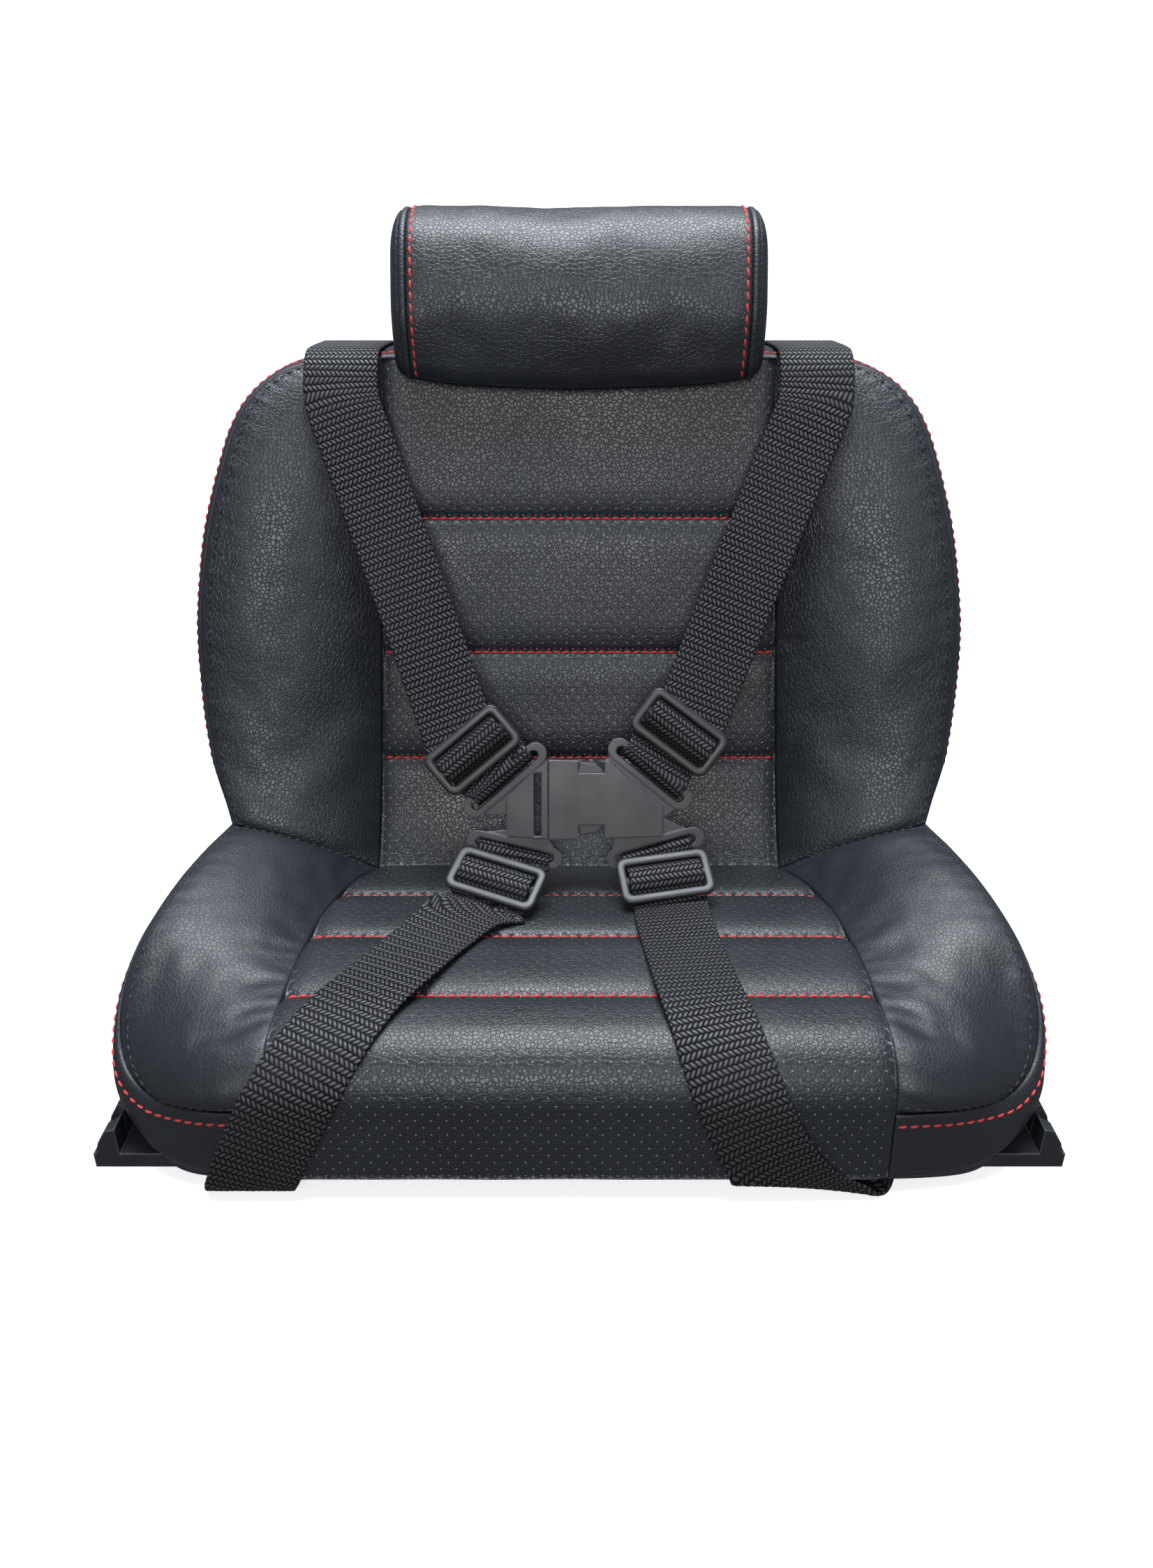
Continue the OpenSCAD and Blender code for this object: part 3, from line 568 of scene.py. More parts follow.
def to_border(s, t, width, length):
    return np.minimum(np.minimum(s, 1 - s) * width, np.minimum(t, 1 - t) * length)


def swollen(at, side, outward, coarse_cols, fine_cols, loose, smooth):
    """A bolster's cover from its shape at(s, t), plus the swell of a coarser cloth simulation."""
    mirror = [side, 1, 1]
    moved = stuffed(at(*net(22, coarse_cols)) * mirror, outward, 10, 4.0, loose, 1.8, smooth)
    s, t = net(56, fine_cols)
    return s, t, Cover(at(s, t) * mirror + resample(moved, 56, fine_cols), outward)


def pan_bolster(side):
    def at(s, t):
        y, z = pan_line(t * ROLL_END)
        seam = np.stack([pan_half(y), y, z], axis=-1)
        edge = spline(SKIRT_TOP, 0.1 + 0.7 * t)
        w = clamp((t - 0.6) / 0.35)[..., None]
        out = unit(np.array([0, 0, 1.0]) * (1 - w) + np.array([0.3, -1, 0.2]) * w)
        s = s[..., None]
        ends = (rounded(t, 0.10) * (0.35 + 0.65 * rounded(1 - t, 0.08)))[..., None]
        swell = 8 * (4 * s * (1 - s)) ** 0.8 * (1 - 0.3 * t[..., None]) * ends
        return seam * (1 - s) + edge * s + out * swell
    s, t, cover = swollen(at, side, [side * 0.2, -0.2, 1], 60, 150, 0.005, 1)
    edge = to_border(s, t, PAN_WIDTH, PAN_LENGTH)
    pucker = 0.22 * np.sin(2 * math.pi / 7 * PAN_LENGTH * t + 3 * s) * np.exp(-edge / 5) * clamp(edge / 1.5)
    uneven = 0.5 * wander(cover.grid, 24, 3 + side) + 0.22 * wander(cover.grid, 8, 6 + side)
    return cover.lift(pucker + uneven * clamp(edge / 6))


def back_bolster(side):
    def at(s, t):
        z = back_z(t)
        seam = np.stack([back_half(z), back_y(z), z], axis=-1)
        edge = spline(BAND_FRONT, t * 8 / 9)
        s = s[..., None]
        ends = rounded(t, 0.07)[..., None]
        swell = 9 * (4 * s * (1 - s)) ** 0.8 * (1 - 0.75 * t[..., None] ** 2) * ends
        return seam * (1 - s) + edge * s + np.array([0, -0.97, 0.24]) * swell
    s, t, cover = swollen(at, side, [0, -1, 0.2], 66, 170, 0.002, 3)
    edge = to_border(s, t, SIDE_WIDTH, SIDE_LENGTH)
    pucker = 0.2 * np.sin(math.pi / 4 * SIDE_LENGTH * t + 2 * s) * np.exp(-edge / 6) * clamp(edge / 1.5)
    uneven = 0.55 * wander(cover.grid, 30, 9 + side) + 0.2 * wander(cover.grid, 9, 12 + side)
    if side > 0:
        # a short tuck in the leather beside the panel seam
        x, z = cover.grid[..., 0], cover.grid[..., 2]
        tuck = np.exp(-((z - 135 - 0.25 * (x - 86)) / 1.6) ** 2)
        uneven = uneven - 1.5 * tuck * clamp(1 - s * 4.5)
    return cover.lift(pucker + uneven * clamp(edge / 6))


for side, word in SIDES:
    for kind, maker, stuff, material, width, first in (
            ("pan", pan_bolster, 0.7, SMOOTH, PAN_WIDTH, 0.018),
            ("back", back_bolster, 0.75, LEATHER, SIDE_WIDTH, 0.012)):
        patch = maker(side)
        piece = patch.build(f"{kind}_bolster_{word}_cover", material)
        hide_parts(f"{kind}_bolster_{word}")
        rows = [patch.at(1 - 3.0 / width, np.linspace(0.005, 0.995, 220)),
                patch.at(np.linspace(0.06, 0.97, 80), first)]
        if kind == "pan":
            rows.append(patch.at(np.linspace(0.05, 0.97, 80), 0.985))
        BLACK_ROWS.extend(stitch_row(p, n, *BOLSTER_STITCH) for p, n in rows)

# ---------- skirts, side bands and rear panel ----------


def strip(top, bottom, rows, cols, bulge, outward, seed):
    """A band of leather between two curves, drawn in at its upper seam."""
    s, t = net(rows, cols)
    a, b = spline(top, t), spline(bottom, t)
    grid = a * (1 - s[..., None]) + b * s[..., None] + bulge(s, t)
    cover = Cover(grid, outward)
    uneven = 0.45 * wander(grid, 26, seed) + 0.25 * wander(grid, 10, seed + 1)
    return cover.lift(uneven * clamp(s * 8) * clamp((1 - s) * 8))


def beside_edge(patch, distance, t):
    """Points and normals at a distance from a band's upper or, if negative, lower edge."""
    gap = np.linalg.norm(patch.grid[-1] - patch.grid[0], axis=1)
    share = distance / np.interp(t, np.linspace(0, 1, len(gap)), gap)
    return patch.at(share if distance > 0 else 1 + share, t)


def skirt(side, word):
    def bulge(s, t):
        full = 3.6 * np.sqrt(4 * s * (1 - s)) * clamp((0.94 - t) * 6)
        return np.array([side, -0.5, 0]) * full[..., None]
    mirror = np.array([side, 1, 1])
    patch = strip(SKIRT_TOP * mirror, HEM_EDGE * mirror, 30, 190, bulge, [side, -0.3, 0], 20 + side)
    piece = patch.build(f"skirt_{word}", SMOOTH)
    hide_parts(f"pan_skirt_{word}")
    RED_ROWS.append(stitch_row(*beside_edge(patch, 4.6, np.linspace(0.10, 0.995, 260)), *SKIRT_STITCH))


def side_band(side, word):
    def bulge(s, t):
        full = 6.0 * np.sqrt(4 * s * (1 - s)) * (1 - 0.5 * s) * clamp(t * 9)
        rise = clamp((t - 0.62) / 0.25)
        return np.stack([side * full * (1 - rise), 0 * full, 0.4 * full * rise], axis=-1)
    mirror = np.array([side, 1, 1])
    rear = REAR_EDGE + [[80, 126.5, 247.5]]
    patch = strip(BAND_FRONT * mirror, rear * mirror, 30, 200, bulge, [side, 0, 0.1], 30 + side)
    piece = patch.build(f"side_band_{word}", SMOOTH)
    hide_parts(f"back_side_{word}")
    t = np.linspace(0.0, 0.995, 260)
    RED_ROWS.append(stitch_row(*beside_edge(patch, 4.6, t), *SKIRT_STITCH))
    BLACK_ROWS.append(stitch_row(*beside_edge(patch, -4.0, t), *BAND_STITCH))


def rear_cover():
    s, t = net(90, 80, -1)
    z = 15.5 + 228.5 * t
    half = np.interp(z, [21] + [p[2] for p in REAR_EDGE], [141] + [p[0] for p in REAR_EDGE]) - 1.2
    grid = np.stack([s * half, rear_y(z) + 3 * (1 - s * s), z], axis=-1)
    rear = Cover(grid, [0, 1, 0])
    rear.lift((0.5 * wander(grid, 40, 41) + 0.2 * wander(grid, 12, 42)) * clamp((1 - abs(s)) * 12))
    piece = rear.build("rear_cover", SMOOTH)
    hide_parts("rear_panel")
    for edge in (0.03, 0.97):
        BLACK_ROWS.append(stitch_row(*rear.at(edge, np.linspace(0.02, 0.99, 160)), *REAR_STITCH))


def hem_tape():
    """Elastic tape along the lower edge on the left and on the right, each a tube with six sides."""
    end_t, wide, thick = 0.985, 9, 1.1
    t = np.linspace(0, end_t, 240)
    u, depth = np.array([[0, 0.5, 1, 1, 0.5, 0], [0, 0, 0, 1, 1, 1]])
    verts, faces, uv = [], [], []
    for side, _ in SIDES:
        edge = spline(HEM_EDGE, t) * [side, 1, 1]
        inward = unit([-side, 0.25, 0]) * (0.4 + 1.8 * u + thick * depth)[:, None]
        fall = 0.4 + u * (wide * clamp((end_t - t) * 2.4 + 0.15))[:, None]
        faces += tube_faces(len(t), 6, len(verts) * 6 * len(t), side > 0)
        verts.append(edge[:, None] + inward - fall[..., None] * [0, 0, 1])
        uv.append(np.stack(np.broadcast_arrays(u * wide, run_along(edge)[:, None]), axis=-1))
    verts, uv = np.concatenate(verts).reshape(-1, 3), np.concatenate(uv).reshape(-1, 2)
    piece = mesh_object("hem_tape", verts, faces, [ELASTIC], "root", uv=uv)
    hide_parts("hem_elastic")


for side, word in SIDES:
    skirt(side, word)
    side_band(side, word)
rear_cover()
hem_tape()

# ---------- perforated panels ----------

QUILT_DEPTH = 3.4
HOLE_PITCH = 2.6
ROW_PITCH = 2.82


class Panel:
    """A quilted panel: a middle line swept across, drawn in at its rows of red stitching."""

    def __init__(self, line, half, column, seams, seed):
        """A seam lies where the given column of the middle line reaches a value in seams."""
        self.line, self.half, self.seed = line, half, seed
        self.run = run_along(line)
        tangent = unit(np.gradient(line, axis=0))
        self.out = np.stack([-tangent[:, 1], tangent[:, 0]], axis=1)
        self.stitches = [self.run[np.argmin(abs(line[:, column] - q) + 1e-4 * self.run)] for q in seams]

    def frame_at(self, v):
        return [np.interp(v, self.run, f[:, k]) for f in (self.line, self.out) for k in (0, 1)]

    def at(self, x, v, sink=0.0):
        y, z, oy, oz = self.frame_at(v)
        near = np.min([abs(v - k) for k in self.stitches], axis=0)
        side = np.maximum(self.half(y, z) - abs(x), 0)
        h = QUILT_DEPTH * (rounded(near, 15.0) - 1) - 1.6 * (1 - rounded(side, 9.0)) + 2.0
        here = np.stack([x + 0 * y, y, z], axis=-1)
        h = h + 0.35 * wander(here, 26, self.seed) * clamp(near / 5) - sink
        return here + np.stack([0 * h, oy * h, oz * h], axis=-1)


def perforated(name, panel, material):
    """A panel of staggered cells, most of them with a small hole, closed by a back and a rim."""
    marks = [0.0] + sorted(panel.stitches) + [panel.run[-1]]
    rows = [0.0]
    for a, b in zip(marks, marks[1:]):
        n = max(1, round((b - a) / ROW_PITCH))
        rows += [a + (b - a) * k / n for k in range(1, n + 1)]
    rows = np.array(rows)
    reach = 42
    m = np.arange(-reach, reach + 1)
    y, z, _, _ = panel.frame_at(rows)
    half = panel.half(y, z)
    x = np.clip(m[None, :] * HOLE_PITCH, -half[:, None], half[:, None])
    v = np.broadcast_to(rows[:, None], x.shape)
    outer = panel.at(x, v)
    inner = panel.at(x, v, 1.6)
    count, cols = x.size, len(m)
    cells = [(i, k) for i in range(len(rows) - 1) for k in range(i % 2, cols - 2, 2)
             if x[i, k + 2] - x[i, k] > 1e-6 or x[i + 1, k + 2] - x[i + 1, k] > 1e-6]
    centre = np.array([[m[k + 1] * HOLE_PITCH, (rows[i] + rows[i + 1]) / 2] for i, k in cells])
    yc, zc, _, _ = panel.frame_at(centre[:, 1])
    clear = np.min([abs(centre[:, 1] - q) for q in panel.stitches], axis=0) > 1.0
    holed = (abs(centre[:, 0]) < panel.half(yc, zc) - 1.3) & clear
    angle = np.radians([210, 270, 330, 30, 90, 150])
    spots = centre[holed]
    # radius and depth of the edge, the lip and the floor of a hole
    hexagons = [panel.at(spots[:, :1] + r * np.cos(angle), spots[:, 1:] + r * np.sin(angle), deep)
                for r, deep in ((0.43, 0.04), (0.40, 0.045), (0.38, 0.42))]
    verts = np.concatenate([g.reshape(-1, 3) for g in [outer, inner] + hexagons])
    faces, kinds, hole = [], [], 0
    for (i, k), open_here in zip(cells, holed):
        a, b = i * cols + k, (i + 1) * cols + k
        loop = [a, a + 1, a + 2, b + 2, b + 1, b]
        if not open_here:
            faces.append(loop)
            kinds.append(0)
            continue
        top = [2 * count + hole * 6 + q for q in range(6)]
        rim = [k + len(spots) * 6 for k in top]
        low = [k + len(spots) * 6 for k in rim]
        for q in range(6):
            w = (q + 1) % 6
            faces += [[a[q], a[w], b[w], b[q]] for a, b in ((loop, top), (top, rim), (rim, low))]
            kinds += [0, 0, 0]
        faces.append(low)
        kinds.append(1)
        hole += 1
    hidden = grid_faces(len(rows), cols, count).tolist() + rim_faces(len(rows), cols, count)
    faces += hidden
    kinds += [0] * len(hidden)
    obj = mesh_object(name, verts, faces, [material, LINING], "root", face_material=kinds, merge=0.02)
    return obj


pan_mid = np.stack(pan_line(np.linspace(0.0, 1, 900)), axis=1)[::-1]
z = np.linspace(BACK_LOW, BACK_TOP, 900)
back_mid = np.stack([back_y(z), z], axis=1)
PAN = Panel(pan_mid, lambda y, z: pan_half(y), 0, (-8, -45, -86), 51)
BACK = Panel(back_mid, lambda y, z: back_half(z), 1, (85, 130, 185), 61)
for panel, name, node in ((PAN, "pan_panel", "pan_centre_panel"), (BACK, "back_panel", "back_centre_panel")):
    piece = perforated(name, panel, PERFORATED)
    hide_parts(node)
    for v in panel.stitches:
        y, z, oy, oz = panel.frame_at(np.array([v]))
        x = np.linspace(-panel.half(y, z)[0] + 1, panel.half(y, z)[0] - 1, 160)
        p = panel.at(x, np.full_like(x, v))
        n = np.repeat([[0, oy[0], oz[0]]], len(x), axis=0)
        RED_ROWS.append(stitch_row(p, n, *QUILT_STITCH))

# ---------- headrest ----------


def head_point(u, x, shrink):
    """Point of the headrest's skin at fraction u round its section and x across, drawn in by shrink."""
    p = spline(HEAD_RING + [HEAD_RING[0]], np.mod(u, 1.0))
    d = p - HEAD_MID
    far = np.linalg.norm(d, axis=-1, keepdims=True)
    p = HEAD_MID + d * (1 - shrink[..., None] / far)
    grid = np.stack([x, p[..., 0], p[..., 1]], axis=-1)
    mid = 1 - (x / HEAD_HALF) ** 2
    low_front = clamp((262 - p[..., 1]) / 16) * clamp((84 - p[..., 0]) / 14)
    top = clamp((p[..., 1] - 280) / 16)
    grid[..., 2] += -3.6 * np.maximum(mid, 0) * low_front
    grid[..., 2] += top * (-1.0 * np.exp(-((x + 8) / 22) ** 2) - 0.5 * np.exp(-((x - 30) / 14) ** 2))
    return grid


def head_skin(rows, cols):
    """The wrap round the headrest, drawn in a little at its two end seams."""
    u, t = net(rows, cols)
    x = HEAD_HALF * (2 * t - 1)
    return x, head_point(u, x, 0.6 + 1.0 * (1 - rounded(HEAD_HALF - abs(x), 14.0)))


def head_cover():
    _, coarse = head_skin(49, 40)
    moved = stuffed(coarse, [0, 1, 0], 8, 2.5, 0.002, 1.2, 2)
    moved[0] = moved[-1] = (moved[1] + moved[-2]) / 2
    x, fine = head_skin(181, 110)
    fine = fine + resample(moved, 181, 110)
    head = Cover(fine, fine[90, 55] - [0, *HEAD_MID])
    uneven = 0.5 * wander(fine, 20, 71) + 0.2 * wander(fine, 8, 72)
    uneven[0] = uneven[-1]
    head.lift(uneven * clamp((HEAD_HALF - abs(x)) / 6))
    head.grid[0] = head.grid[-1]
    head.normal[0] = head.normal[-1] = unit(head.normal[0] + head.normal[-1])
    piece = head.build("headrest_skin", LEATHER)
    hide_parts("headrest_cover")
    for side in (-1, 1):
        p, n = head.at(np.linspace(0, 1, 400), 0.5 + side * (0.5 - 2.0 / (2 * HEAD_HALF)))
        RED_ROWS.append(stitch_row(p, n, *HEADREST_STITCH))


def head_end(side, word):
    """The domed cap of one end: two grids, closed by a fan each and by a rim at the seam."""
    u, w = net(181, 26)
    out = HEAD_HALF + 7 * np.sin(w * math.pi / 2)
    shrink = 1.6 - 1.0 * rounded(w * 7, 2.0) + 11 * (1 - np.cos(w * math.pi / 2))
    shrink = shrink + 0.5 * np.exp(-((w - 0.28) / 0.05) ** 2)
    grid = head_point(u, side * out, shrink)
    cap = Cover(grid, [side, 0, 0])
    rows, cols = grid.shape[:2]
    count = rows * cols
    centre = np.array([[side * 74.0, *HEAD_MID], [side * 68.0, *HEAD_MID]])
    verts = np.concatenate([grid.reshape(-1, 3), (grid - cap.normal * 1.3).reshape(-1, 3), centre])
    faces = sheet_faces(rows, cols, cap.flip)
    one_way, other_way = (-1, 1) if cap.flip else (1, -1)
    for a in range(0, count - cols, cols):
        b = a + cols
        in_a, in_b = a + cols - 1, b + cols - 1
        faces += [[in_a, in_b, 2 * count][::one_way],
                  [in_a + count, in_b + count, 2 * count + 1][::other_way],
                  [a, b, b + count, a + count][::other_way]]
    piece = mesh_object(f"headrest_end_{word}", verts, faces, [LEATHER], "root", merge=0.02)
    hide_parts(f"headrest_cap_{word}")


head_cover()
for side, word in SIDES:
    head_end(side, word)

sewn("red_stitching", RED_ROWS, RED)
sewn("black_stitching", BLACK_ROWS, BLACK)

# ---------- foam under the cover ----------


def cushion_block(name, front, back, outward, node):
    verts, faces = Cover(front, outward).closed(back)
    obj = mesh_object(name, verts, faces, [FOAM], "root")
    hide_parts(node)


def cushion_front(middle, edge, narrow, low, high):
    """The face of a cushion, from its middle line out to the bolsters' edges."""
    s, t = np.meshgrid(np.linspace(-1, 1, 41), np.linspace(low, high, 40), indexing="ij")
    half, y, z = middle(t)
    edge = spline(edge, t)
    inside = np.interp(abs(s), [0, 0.68, 1], [0, 1, 1])
    share = clamp((abs(s) - 0.68) / 0.32)
    x = np.sign(s) * (half * inside * (1 - share) + edge[..., 0] * narrow * share)
    y, z = y * (1 - share) + edge[..., 1] * share, z * (1 - share) + edge[..., 2] * share
    return t, np.stack([x, y, z], axis=-1)


def pan_cushion():
    def middle(t):
        y, z = pan_line(t * ROLL_END)
        return pan_half(y), y, z
    low, high, narrow = 0.03, 0.96, 0.95
    t, front = cushion_front(middle, PAN_EDGE, narrow, low, high)
    front[..., 2] -= 4
    front[..., 1] += 3.5 * clamp((t - 0.72) * 4)
    rear = CREASE_Y - 128 * (t - low) / (high - low)
    back = np.stack([front[..., 0] * narrow, rear, np.full_like(t, 13.6)], axis=-1)
    cushion_block("pan_cushion", front, back, [0, -0.2, 1], "pan_foam")


def back_cushion():
    def middle(t):
        return back_half(back_z(t)), back_y(back_z(t)), back_z(t)
    narrow = 0.97
    _, front = cushion_front(middle, BACK_EDGE, narrow, 0.05, 0.97)
    front[..., 1] += 3.5
    back = np.stack([front[..., 0] * narrow, back_y(front[..., 2]) + 20.5, front[..., 2]], axis=-1)
    cushion_block("back_cushion", front, back, [0, -1, 0.2], "back_foam")


def headrest_cushion():
    u, t = net(49, 9)
    x = (HEAD_HALF - 1.5) * (2 * t - 1)
    outer = head_point(u, x, np.full_like(x, 4.2))
    inner = np.stack([x, 101 + (outer[..., 1] - HEAD_MID[0]) * 0.25,
                      262 + (outer[..., 2] - HEAD_MID[1]) * 0.5], axis=-1)
    cushion_block("headrest_cushion", outer, inner, outer[24, 4] - [0, *HEAD_MID], "headrest_foam")


pan_cushion()
back_cushion()
headrest_cushion()

# ---------- webbing ----------

BUCKLE_AT = np.array([11.0, 5.0, 85.0])
BUCKLE_LEAN = 20
STRAP_HALF = 15.0
# place of each slider's bar, lean of its plane and turn in that plane, in mm and degrees
SLIDERS = {"shoulder_left": ([-43.5, 10.2, 104.5], 20, 39.8),
           "shoulder_right": ([41, 13.2, 111.1], 20, -36.7),
           "lap_left": ([-33.3, -20.8, 61.6], 65, -20),
           "lap_right": ([34.9, -17.6, 60.7], 61, 9)}
# place of each buckle ear in the buckle's plane, and its turn
EARS = {"shoulder_left": ([-41.4, 7.5], 41), "shoulder_right": ([18.2, 10], -39),
        "lap_left": ([-37.6, -21.4], -13.3), "lap_right": ([20.6, -20.8], 15.5)}
LAP_LEFT = [[-112, -68, 7.9], [-112, -84, 7.9], [-113, -94, 5], [-114, -106, 1.6], [-114, -120, 1.2],
            [-113, -126.5, 2.5], [-111, -129.6, 8], [-107, -130.2, 18], [-101, -129.4, 31], [-95, -127, 43],
            [-89, -119.5, 52], [-83, -109, 57.5], [-76, -95, 59.5], [-66, -76, 58.7], [-56, -56, 57],
            [-46, -38, 56]]
LAP_RIGHT = [[96, -68, 7.9], [96, -84, 7.9], [98, -94, 4.5], [100, -104, 1.4], [95, -115, 1.2],
             [84, -123.6, 1.7], [73.5, -129.2, 7.5], [65, -130.2, 18], [58, -129.4, 31], [53, -127, 43],
             [49, -119.5, 52], [46, -109, 57.5], [43, -95, 59.5], [40.5, -76, 58.3], [38.5, -56, 56],
             [37, -38, 54.7]]


def plane_dir(lean, angle):
    """Direction at an angle in a plane that leans back from upright."""
    lean, angle = math.radians(lean), math.radians(angle)
    return np.array([math.cos(angle), math.sin(angle) * math.sin(lean), math.sin(angle) * math.cos(lean)])


def strap(name, route, across):
    """Woven strap along a route; across holds the direction of its width at each route point."""
    route, across = np.asarray(route, float), np.asarray(across, float)
    t = np.linspace(0, 1, 40 * (len(route) - 1))
    path, width = spline(route, t), spline(across, t)
    run = run_along(path)
    n = int(run[-1] / 0.65)
    even = np.linspace(0, run[-1], n)
    path, width = read_at(even, run, path), read_at(even, run, width)
    ahead = unit(np.gradient(path, axis=0))
    up = unit(np.cross(width, ahead))
    flat = unit(np.cross(ahead, up))
    border = [STRAP_HALF - 0.15, STRAP_HALF]
    u = np.linspace(0.5 - STRAP_HALF, STRAP_HALF - 0.5, 61)
    u = np.concatenate([np.negative(border[::-1]), u, border])
    row = unit(width)
    reach = 1.0 / np.maximum(np.sum(row * flat, axis=1), 0.5)
    offset = row[:, None] * (u[None, :] * reach[:, None])[..., None]
    lengthwise = even[:, None] + np.sum(offset * ahead[:, None], axis=-1)
    pick = lengthwise / ROW
    turn = np.floor(pick)
    f = pick - turn
    odd = np.mod(turn, 2)
    phase = u[None, :] / RIB + (f - 0.5) * ROW_LEAN * (2 * odd - 1) + 0.5 * odd
    weave = np.abs(np.sin(math.pi * phase)) ** 0.7 * np.sin(math.pi * f) ** 0.5
    selvedge = 0.8
    past = np.maximum(abs(u) - STRAP_HALF + selvedge, 0) / selvedge
    thick = 0.72 * np.sqrt(np.maximum(1 - past ** 2, 0.02))
    height = (thick[None] + 0.34 * (weave - 0.6) * (abs(u) < STRAP_HALF - 0.3))[..., None]
    top = path[:, None] + offset + up[:, None] * height
    low = path[:, None] + offset - up[:, None] * height
    rings = np.concatenate([top, low[:, ::-1]], axis=1)
    uv = np.stack([np.broadcast_to(u, lengthwise.shape), lengthwise], axis=-1)
    uv = np.concatenate([uv, uv[:, ::-1]], axis=1).reshape(-1, 2)
    return mesh_object(name, rings.reshape(-1, 3), tube_faces(*rings.shape[:2]), [WEBBING], None, uv=uv)


def smooth_turn(n, start, end, count):
    """Width directions along a route: level, then turned to the slider over its last points."""
    w = clamp((np.arange(n) - (n - 2 - count)) / count)
    w = (w * w * (3 - 2 * w))[:, None]
    return unit(np.asarray(start) * (1 - w) + np.asarray(end) * w)


def outward(lean):
    """Direction square to a plane that leans back from upright, toward the front."""
    return np.array([0, -math.cos(math.radians(lean)), math.sin(math.radians(lean))])


def square_to(direction, out, toward):
    """The direction in a plane that is square to a given one, on the side of toward."""
    v = unit(np.cross(out, direction))
    return v if np.dot(v, toward) > 0 else -v


def ear_place(key):
    x, up = EARS[key][0]
    return BUCKLE_AT + x * X + up * plane_dir(BUCKLE_LEAN, 90)


def under_rim(key, distance):
    """A point below a slider, at a distance from its bar on the side away from the buckle."""
    place, lean, turn = SLIDERS[key]
    toward = square_to(plane_dir(lean, turn), outward(lean), ear_place(key) - place)
    return np.array(place) - distance * toward - 1.6 * outward(lean)


def shoulder_route(side, key):
    """From the screw behind the backrest, over its top and down the front to the slider."""
    x = side * 96
    behind = [[x, rear_y(z) + 5.2, z] for z in np.linspace(138, 238, 7)]
    over = [[x, 128, 245.5], [x, 123, 248.9], [x, 106, 249.9], [x, 88, 250.3], [x, 80.5, 249.4],
            [x, 75, 245.5], [x, 70.5, 238]]
    a, b = np.array([side * 94.5, 66.5, 230]), under_rim(key, 9.7)
    sag = ((0, 0), (0.15, 0.6), (0.3, 1.3), (0.5, 2.0), (0.7, 2.4), (0.85, 2.0), (1, 0.4))
    return behind + over + [(a + (b - a) * t - outward(BUCKLE_LEAN) * low).tolist() for t, low in sag]


def loop_route(key):
    """The doubled end: over the slider's bar, to the buckle ear, through its slot and back."""
    place, lean, turn = SLIDERS[key]
    bar, ear = np.array(place), ear_place(key)
    across_s, across_e = plane_dir(lean, turn), plane_dir(BUCKLE_LEAN, EARS[key][1])
    at_bar = (bar, square_to(across_s, outward(lean), ear - bar), outward(lean), across_s)
    at_ear = (ear, square_to(across_e, outward(BUCKLE_LEAN), bar - ear), outward(BUCKLE_LEAN), across_e)
    over_bar = [[-8.4, -1.6], [-6.2, -0.6], [-4.0, 2.4], [-1.6, 3.7], [1.6, 3.7], [4.0, 2.5], [6.2, -0.4],
                [9.6, -1.7]]
    round_ear = [[4.2, 3.2], [1.3, 2.9], [-0.3, 1.5], [-0.3, -1.5], [1.3, -2.9], [5.4, -3.2]]
    under = [[7, -4.6], [-2, -4.2]]
    points, across = [], []
    for (origin, along, out, wide), part in ((at_bar, over_bar), (at_ear, round_ear), (at_bar, under)):
        points += [origin + a * along + b * out for a, b in part]
        across += [wide] * len(part)
    return points, across, bar, ear


def long_strap(key):
    """From the seat to the slider; the two on the right ride with the seat, the two on the left are baked in
    place and ride with no body.
    """
    side = -1 if key.endswith("left") else 1
    if key.startswith("shoulder"):
        route, blend_from = shoulder_route(side, key), 13
    else:
        route, blend_from = (LAP_LEFT if side < 0 else LAP_RIGHT), 9
        route = route + [under_rim(key, 12.6).tolist(), under_rim(key, 9.7).tolist()]
    across = smooth_turn(len(route), X, plane_dir(*SLIDERS[key][1:]), 3)
    if key == "lap_right":
        # it sweeps outward on its way round the front edge
        across[2:6] = unit([[1, -0.1, 0], [1, -0.25, 0], [1, -0.42, 0], [1, -0.25, 0]])
    name = key.replace("_", "_strap_")
    piece = strap(name + "_web", route, across)
    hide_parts(name)
    if side < 0:
        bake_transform(piece)
    else:
        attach(piece, "root")


def loop(key):
    points, across, bar, ear = loop_route(key)
    name = key.replace("_", "_loop_")
    piece = strap(name + "_web", points, across)
    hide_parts(name)
    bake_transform(piece)


for key in SLIDERS:
    long_strap(key)
    loop(key)

# ---------- sliders ----------


def corner_ring(length, height, radius):
    """Points round a rectangle with round corners, nine to a corner."""
    points = []
    for cx, cy, start in ((1, 1, 0), (-1, 1, 90), (-1, -1, 180), (1, -1, 270)):
        for k in range(9):
            a = math.radians(start + 90 * k / 8)
            points.append([cx * (length / 2 - radius) + radius * math.cos(a),
                           cy * (height / 2 - radius) + radius * math.sin(a)])
    return np.array(points)


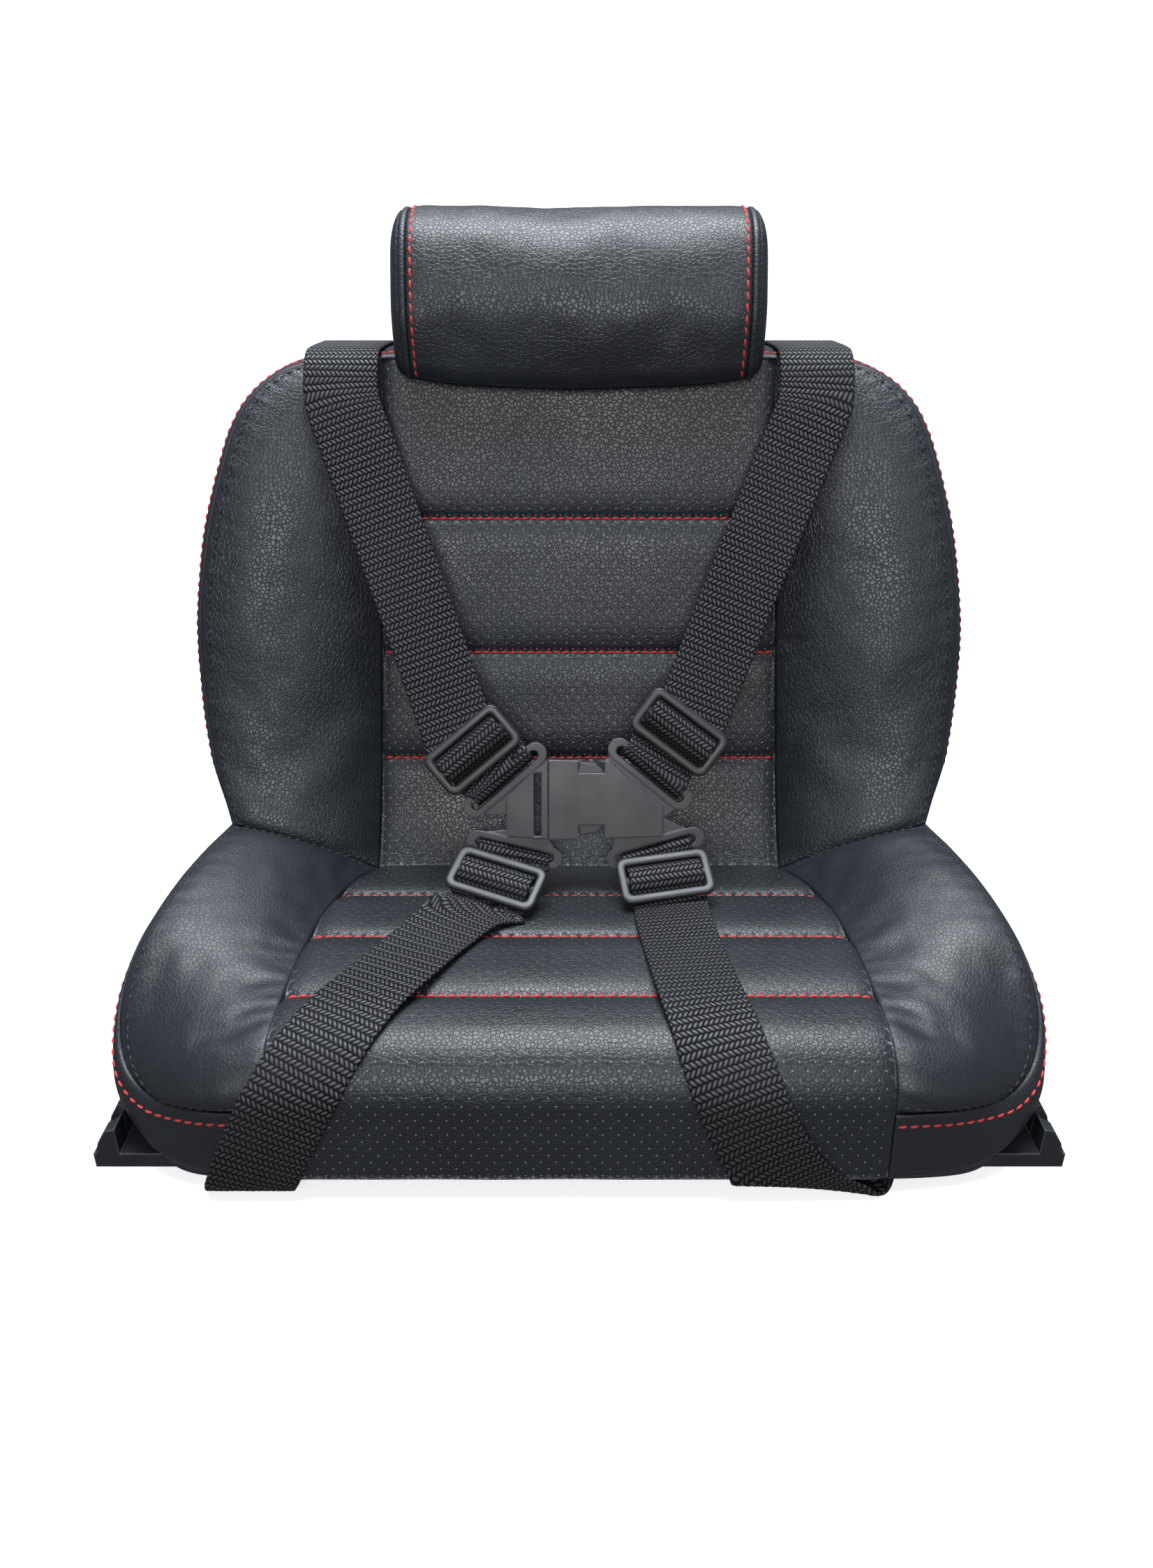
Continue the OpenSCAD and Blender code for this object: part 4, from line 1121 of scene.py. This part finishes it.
def slider(key):
    """A frame with a bar across it. Its profile runs from the opening, 0, to the outside, 1."""
    place, lean, turn = SLIDERS[key]
    outer, inner = corner_ring(38.0, 20.6, 4.0), corner_ring(31.0, 13.8, 1.4)
    profile = [(0.0, 0.1), (0.0, 1.5), (0.10, 1.85), (0.28, 2.0), (0.72, 2.0), (0.90, 1.85), (1.0, 1.5),
               (1.0, 0.1), (0.88, -0.3), (0.7, -0.4), (0.3, -0.4), (0.12, -0.3)]
    rings = np.stack([np.concatenate([inner * (1 - w) + outer * w, np.full((len(outer), 1), h)], axis=1)
                      for w, h in profile], axis=1)
    n, k = rings.shape[:2]
    faces = [[i * k + j, ((i + 1) % n) * k + j, ((i + 1) % n) * k + (j + 1) % k, i * k + (j + 1) % k]
             for i in range(n) for j in range(k)]
    faces += tube_faces(2, 16, n * k, True)
    bar = [[x, 1.9 * math.cos(a), 0.5 + 0.9 * math.sin(a)]
           for x in (-16.5, 16.5) for a in np.linspace(0, 2 * math.pi, 17)[:-1]]
    verts = np.concatenate([rings.reshape(-1, 3), bar])
    verts = verts @ [plane_dir(lean, turn), plane_dir(lean, turn + 90), outward(lean)] + place
    name = key.replace("_", "_slider_")
    obj = mesh_object(name + "_frame", verts, faces, [HARNESS], f"slider_{key}")
    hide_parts(name)


for key in SLIDERS:
    slider(key)

# ---------- CAD pieces that show as they are, with softened edges ----------


def dress(node, material, bevel=0.0):
    """Gives a CAD piece its material and, where asked, a bevel in mm."""
    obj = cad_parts[node]
    obj.data.materials.clear()
    obj.data.materials.append(material)
    if bevel:
        obj.modifiers.new("weld", "WELD").merge_threshold = 0.02 * MM
        tune(obj.modifiers.new("flat", "DECIMATE"), decimate_type="DISSOLVE", angle_limit=math.radians(1.0))
        tune(obj.modifiers.new("bevel", "BEVEL"), width=bevel * MM, segments=3, limit_method="ANGLE",
             angle_limit=math.radians(28))



dress("seat_shell", SHELL, 0.5)
dress("buckle_socket", HARNESS, 0.55)
dress("buckle_plug", HARNESS, 0.55)
dress("latch_arm_upper", HARNESS, 0.3)
dress("latch_arm_lower", HARNESS, 0.3)
dress("anchor_washers", STEEL)
dress("anchor_screws", STEEL)

# ---------- floor, light and camera ----------
# a bowl of white paper, which only the camera sees

paper = Shader("floor", 0.85)
paper.base(paper.colour(paper.noise(3.0, 3.0), (0.88, 0.885, 0.89, 1), (0.92, 0.92, 0.92, 1)))
paper.put(paper.bsdf.inputs["Emission Color"], (1.0, 1.0, 1.0, 1))
far = paper.node("VectorMath", {0: paper.place.outputs["Object"]}, out=1, operation="LENGTH")
paper.put(paper.bsdf.inputs["Emission Strength"], paper.span(far, 0.3, 1.6, 0.6, 1.0))
turn = np.linspace(0, math.pi / 2, 13)
sweep = [[2000 + 900 * math.sin(a), 900 - 900 * math.cos(a)] for a in turn]
sweep = [[0, 0], [1200, 0]] + sweep + [[2900, 4500]]
verts = [[r * math.cos(a), r * math.sin(a), z] for r, z in sweep for a in np.linspace(0, 2 * math.pi, 65)]
floor = mesh_object("floor", verts, grid_faces(len(sweep), 65), [paper.material], None, merge=0.1)
floor.visible_diffuse = False
floor.visible_glossy = False

world = bpy.data.worlds.new("studio")
bpy.context.scene.world = world
world.use_nodes = True
sky = world.node_tree.nodes["Background"].inputs
sky["Color"].default_value = (0.93, 0.96, 1.0, 1)
sky["Strength"].default_value = 0.2


def lamp(name, place, target, size, power, colour):
    data = bpy.data.lights.new(name, "AREA")
    tune(data, shape="RECTANGLE", size=size[0], size_y=size[1], energy=power, color=colour)
    obj = bpy.data.objects.new(name, data)
    obj.location = place
    obj.rotation_euler = (Vector(target) - Vector(place)).to_track_quat("-Z", "Y").to_euler()
    bpy.context.scene.collection.objects.link(obj)


lamp("overhead", (0.0, 0.15, 1.3), (0, 0, 0.15), (0.8, 0.9), 34, (0.90, 0.95, 1.0))
lamp("front", (-0.05, -1.25, 0.66), (0, 0, 0.15), (0.5, 0.4), 9, (0.95, 0.98, 1.0))

camera = bpy.data.objects.new("camera", bpy.data.cameras.new("camera"))
bpy.context.scene.collection.objects.link(camera)
camera.location = (-0.001, -0.418, 0.307)
camera.rotation_euler = (math.radians(63), 0, 0)
camera.data.sensor_fit = "VERTICAL"
camera.data.sensor_height = 36
camera.data.lens = 36 * 0.7387628
camera.data.clip_start = 0.01
bpy.context.scene.camera = camera
bpy.context.scene.view_settings.view_transform = "Standard"
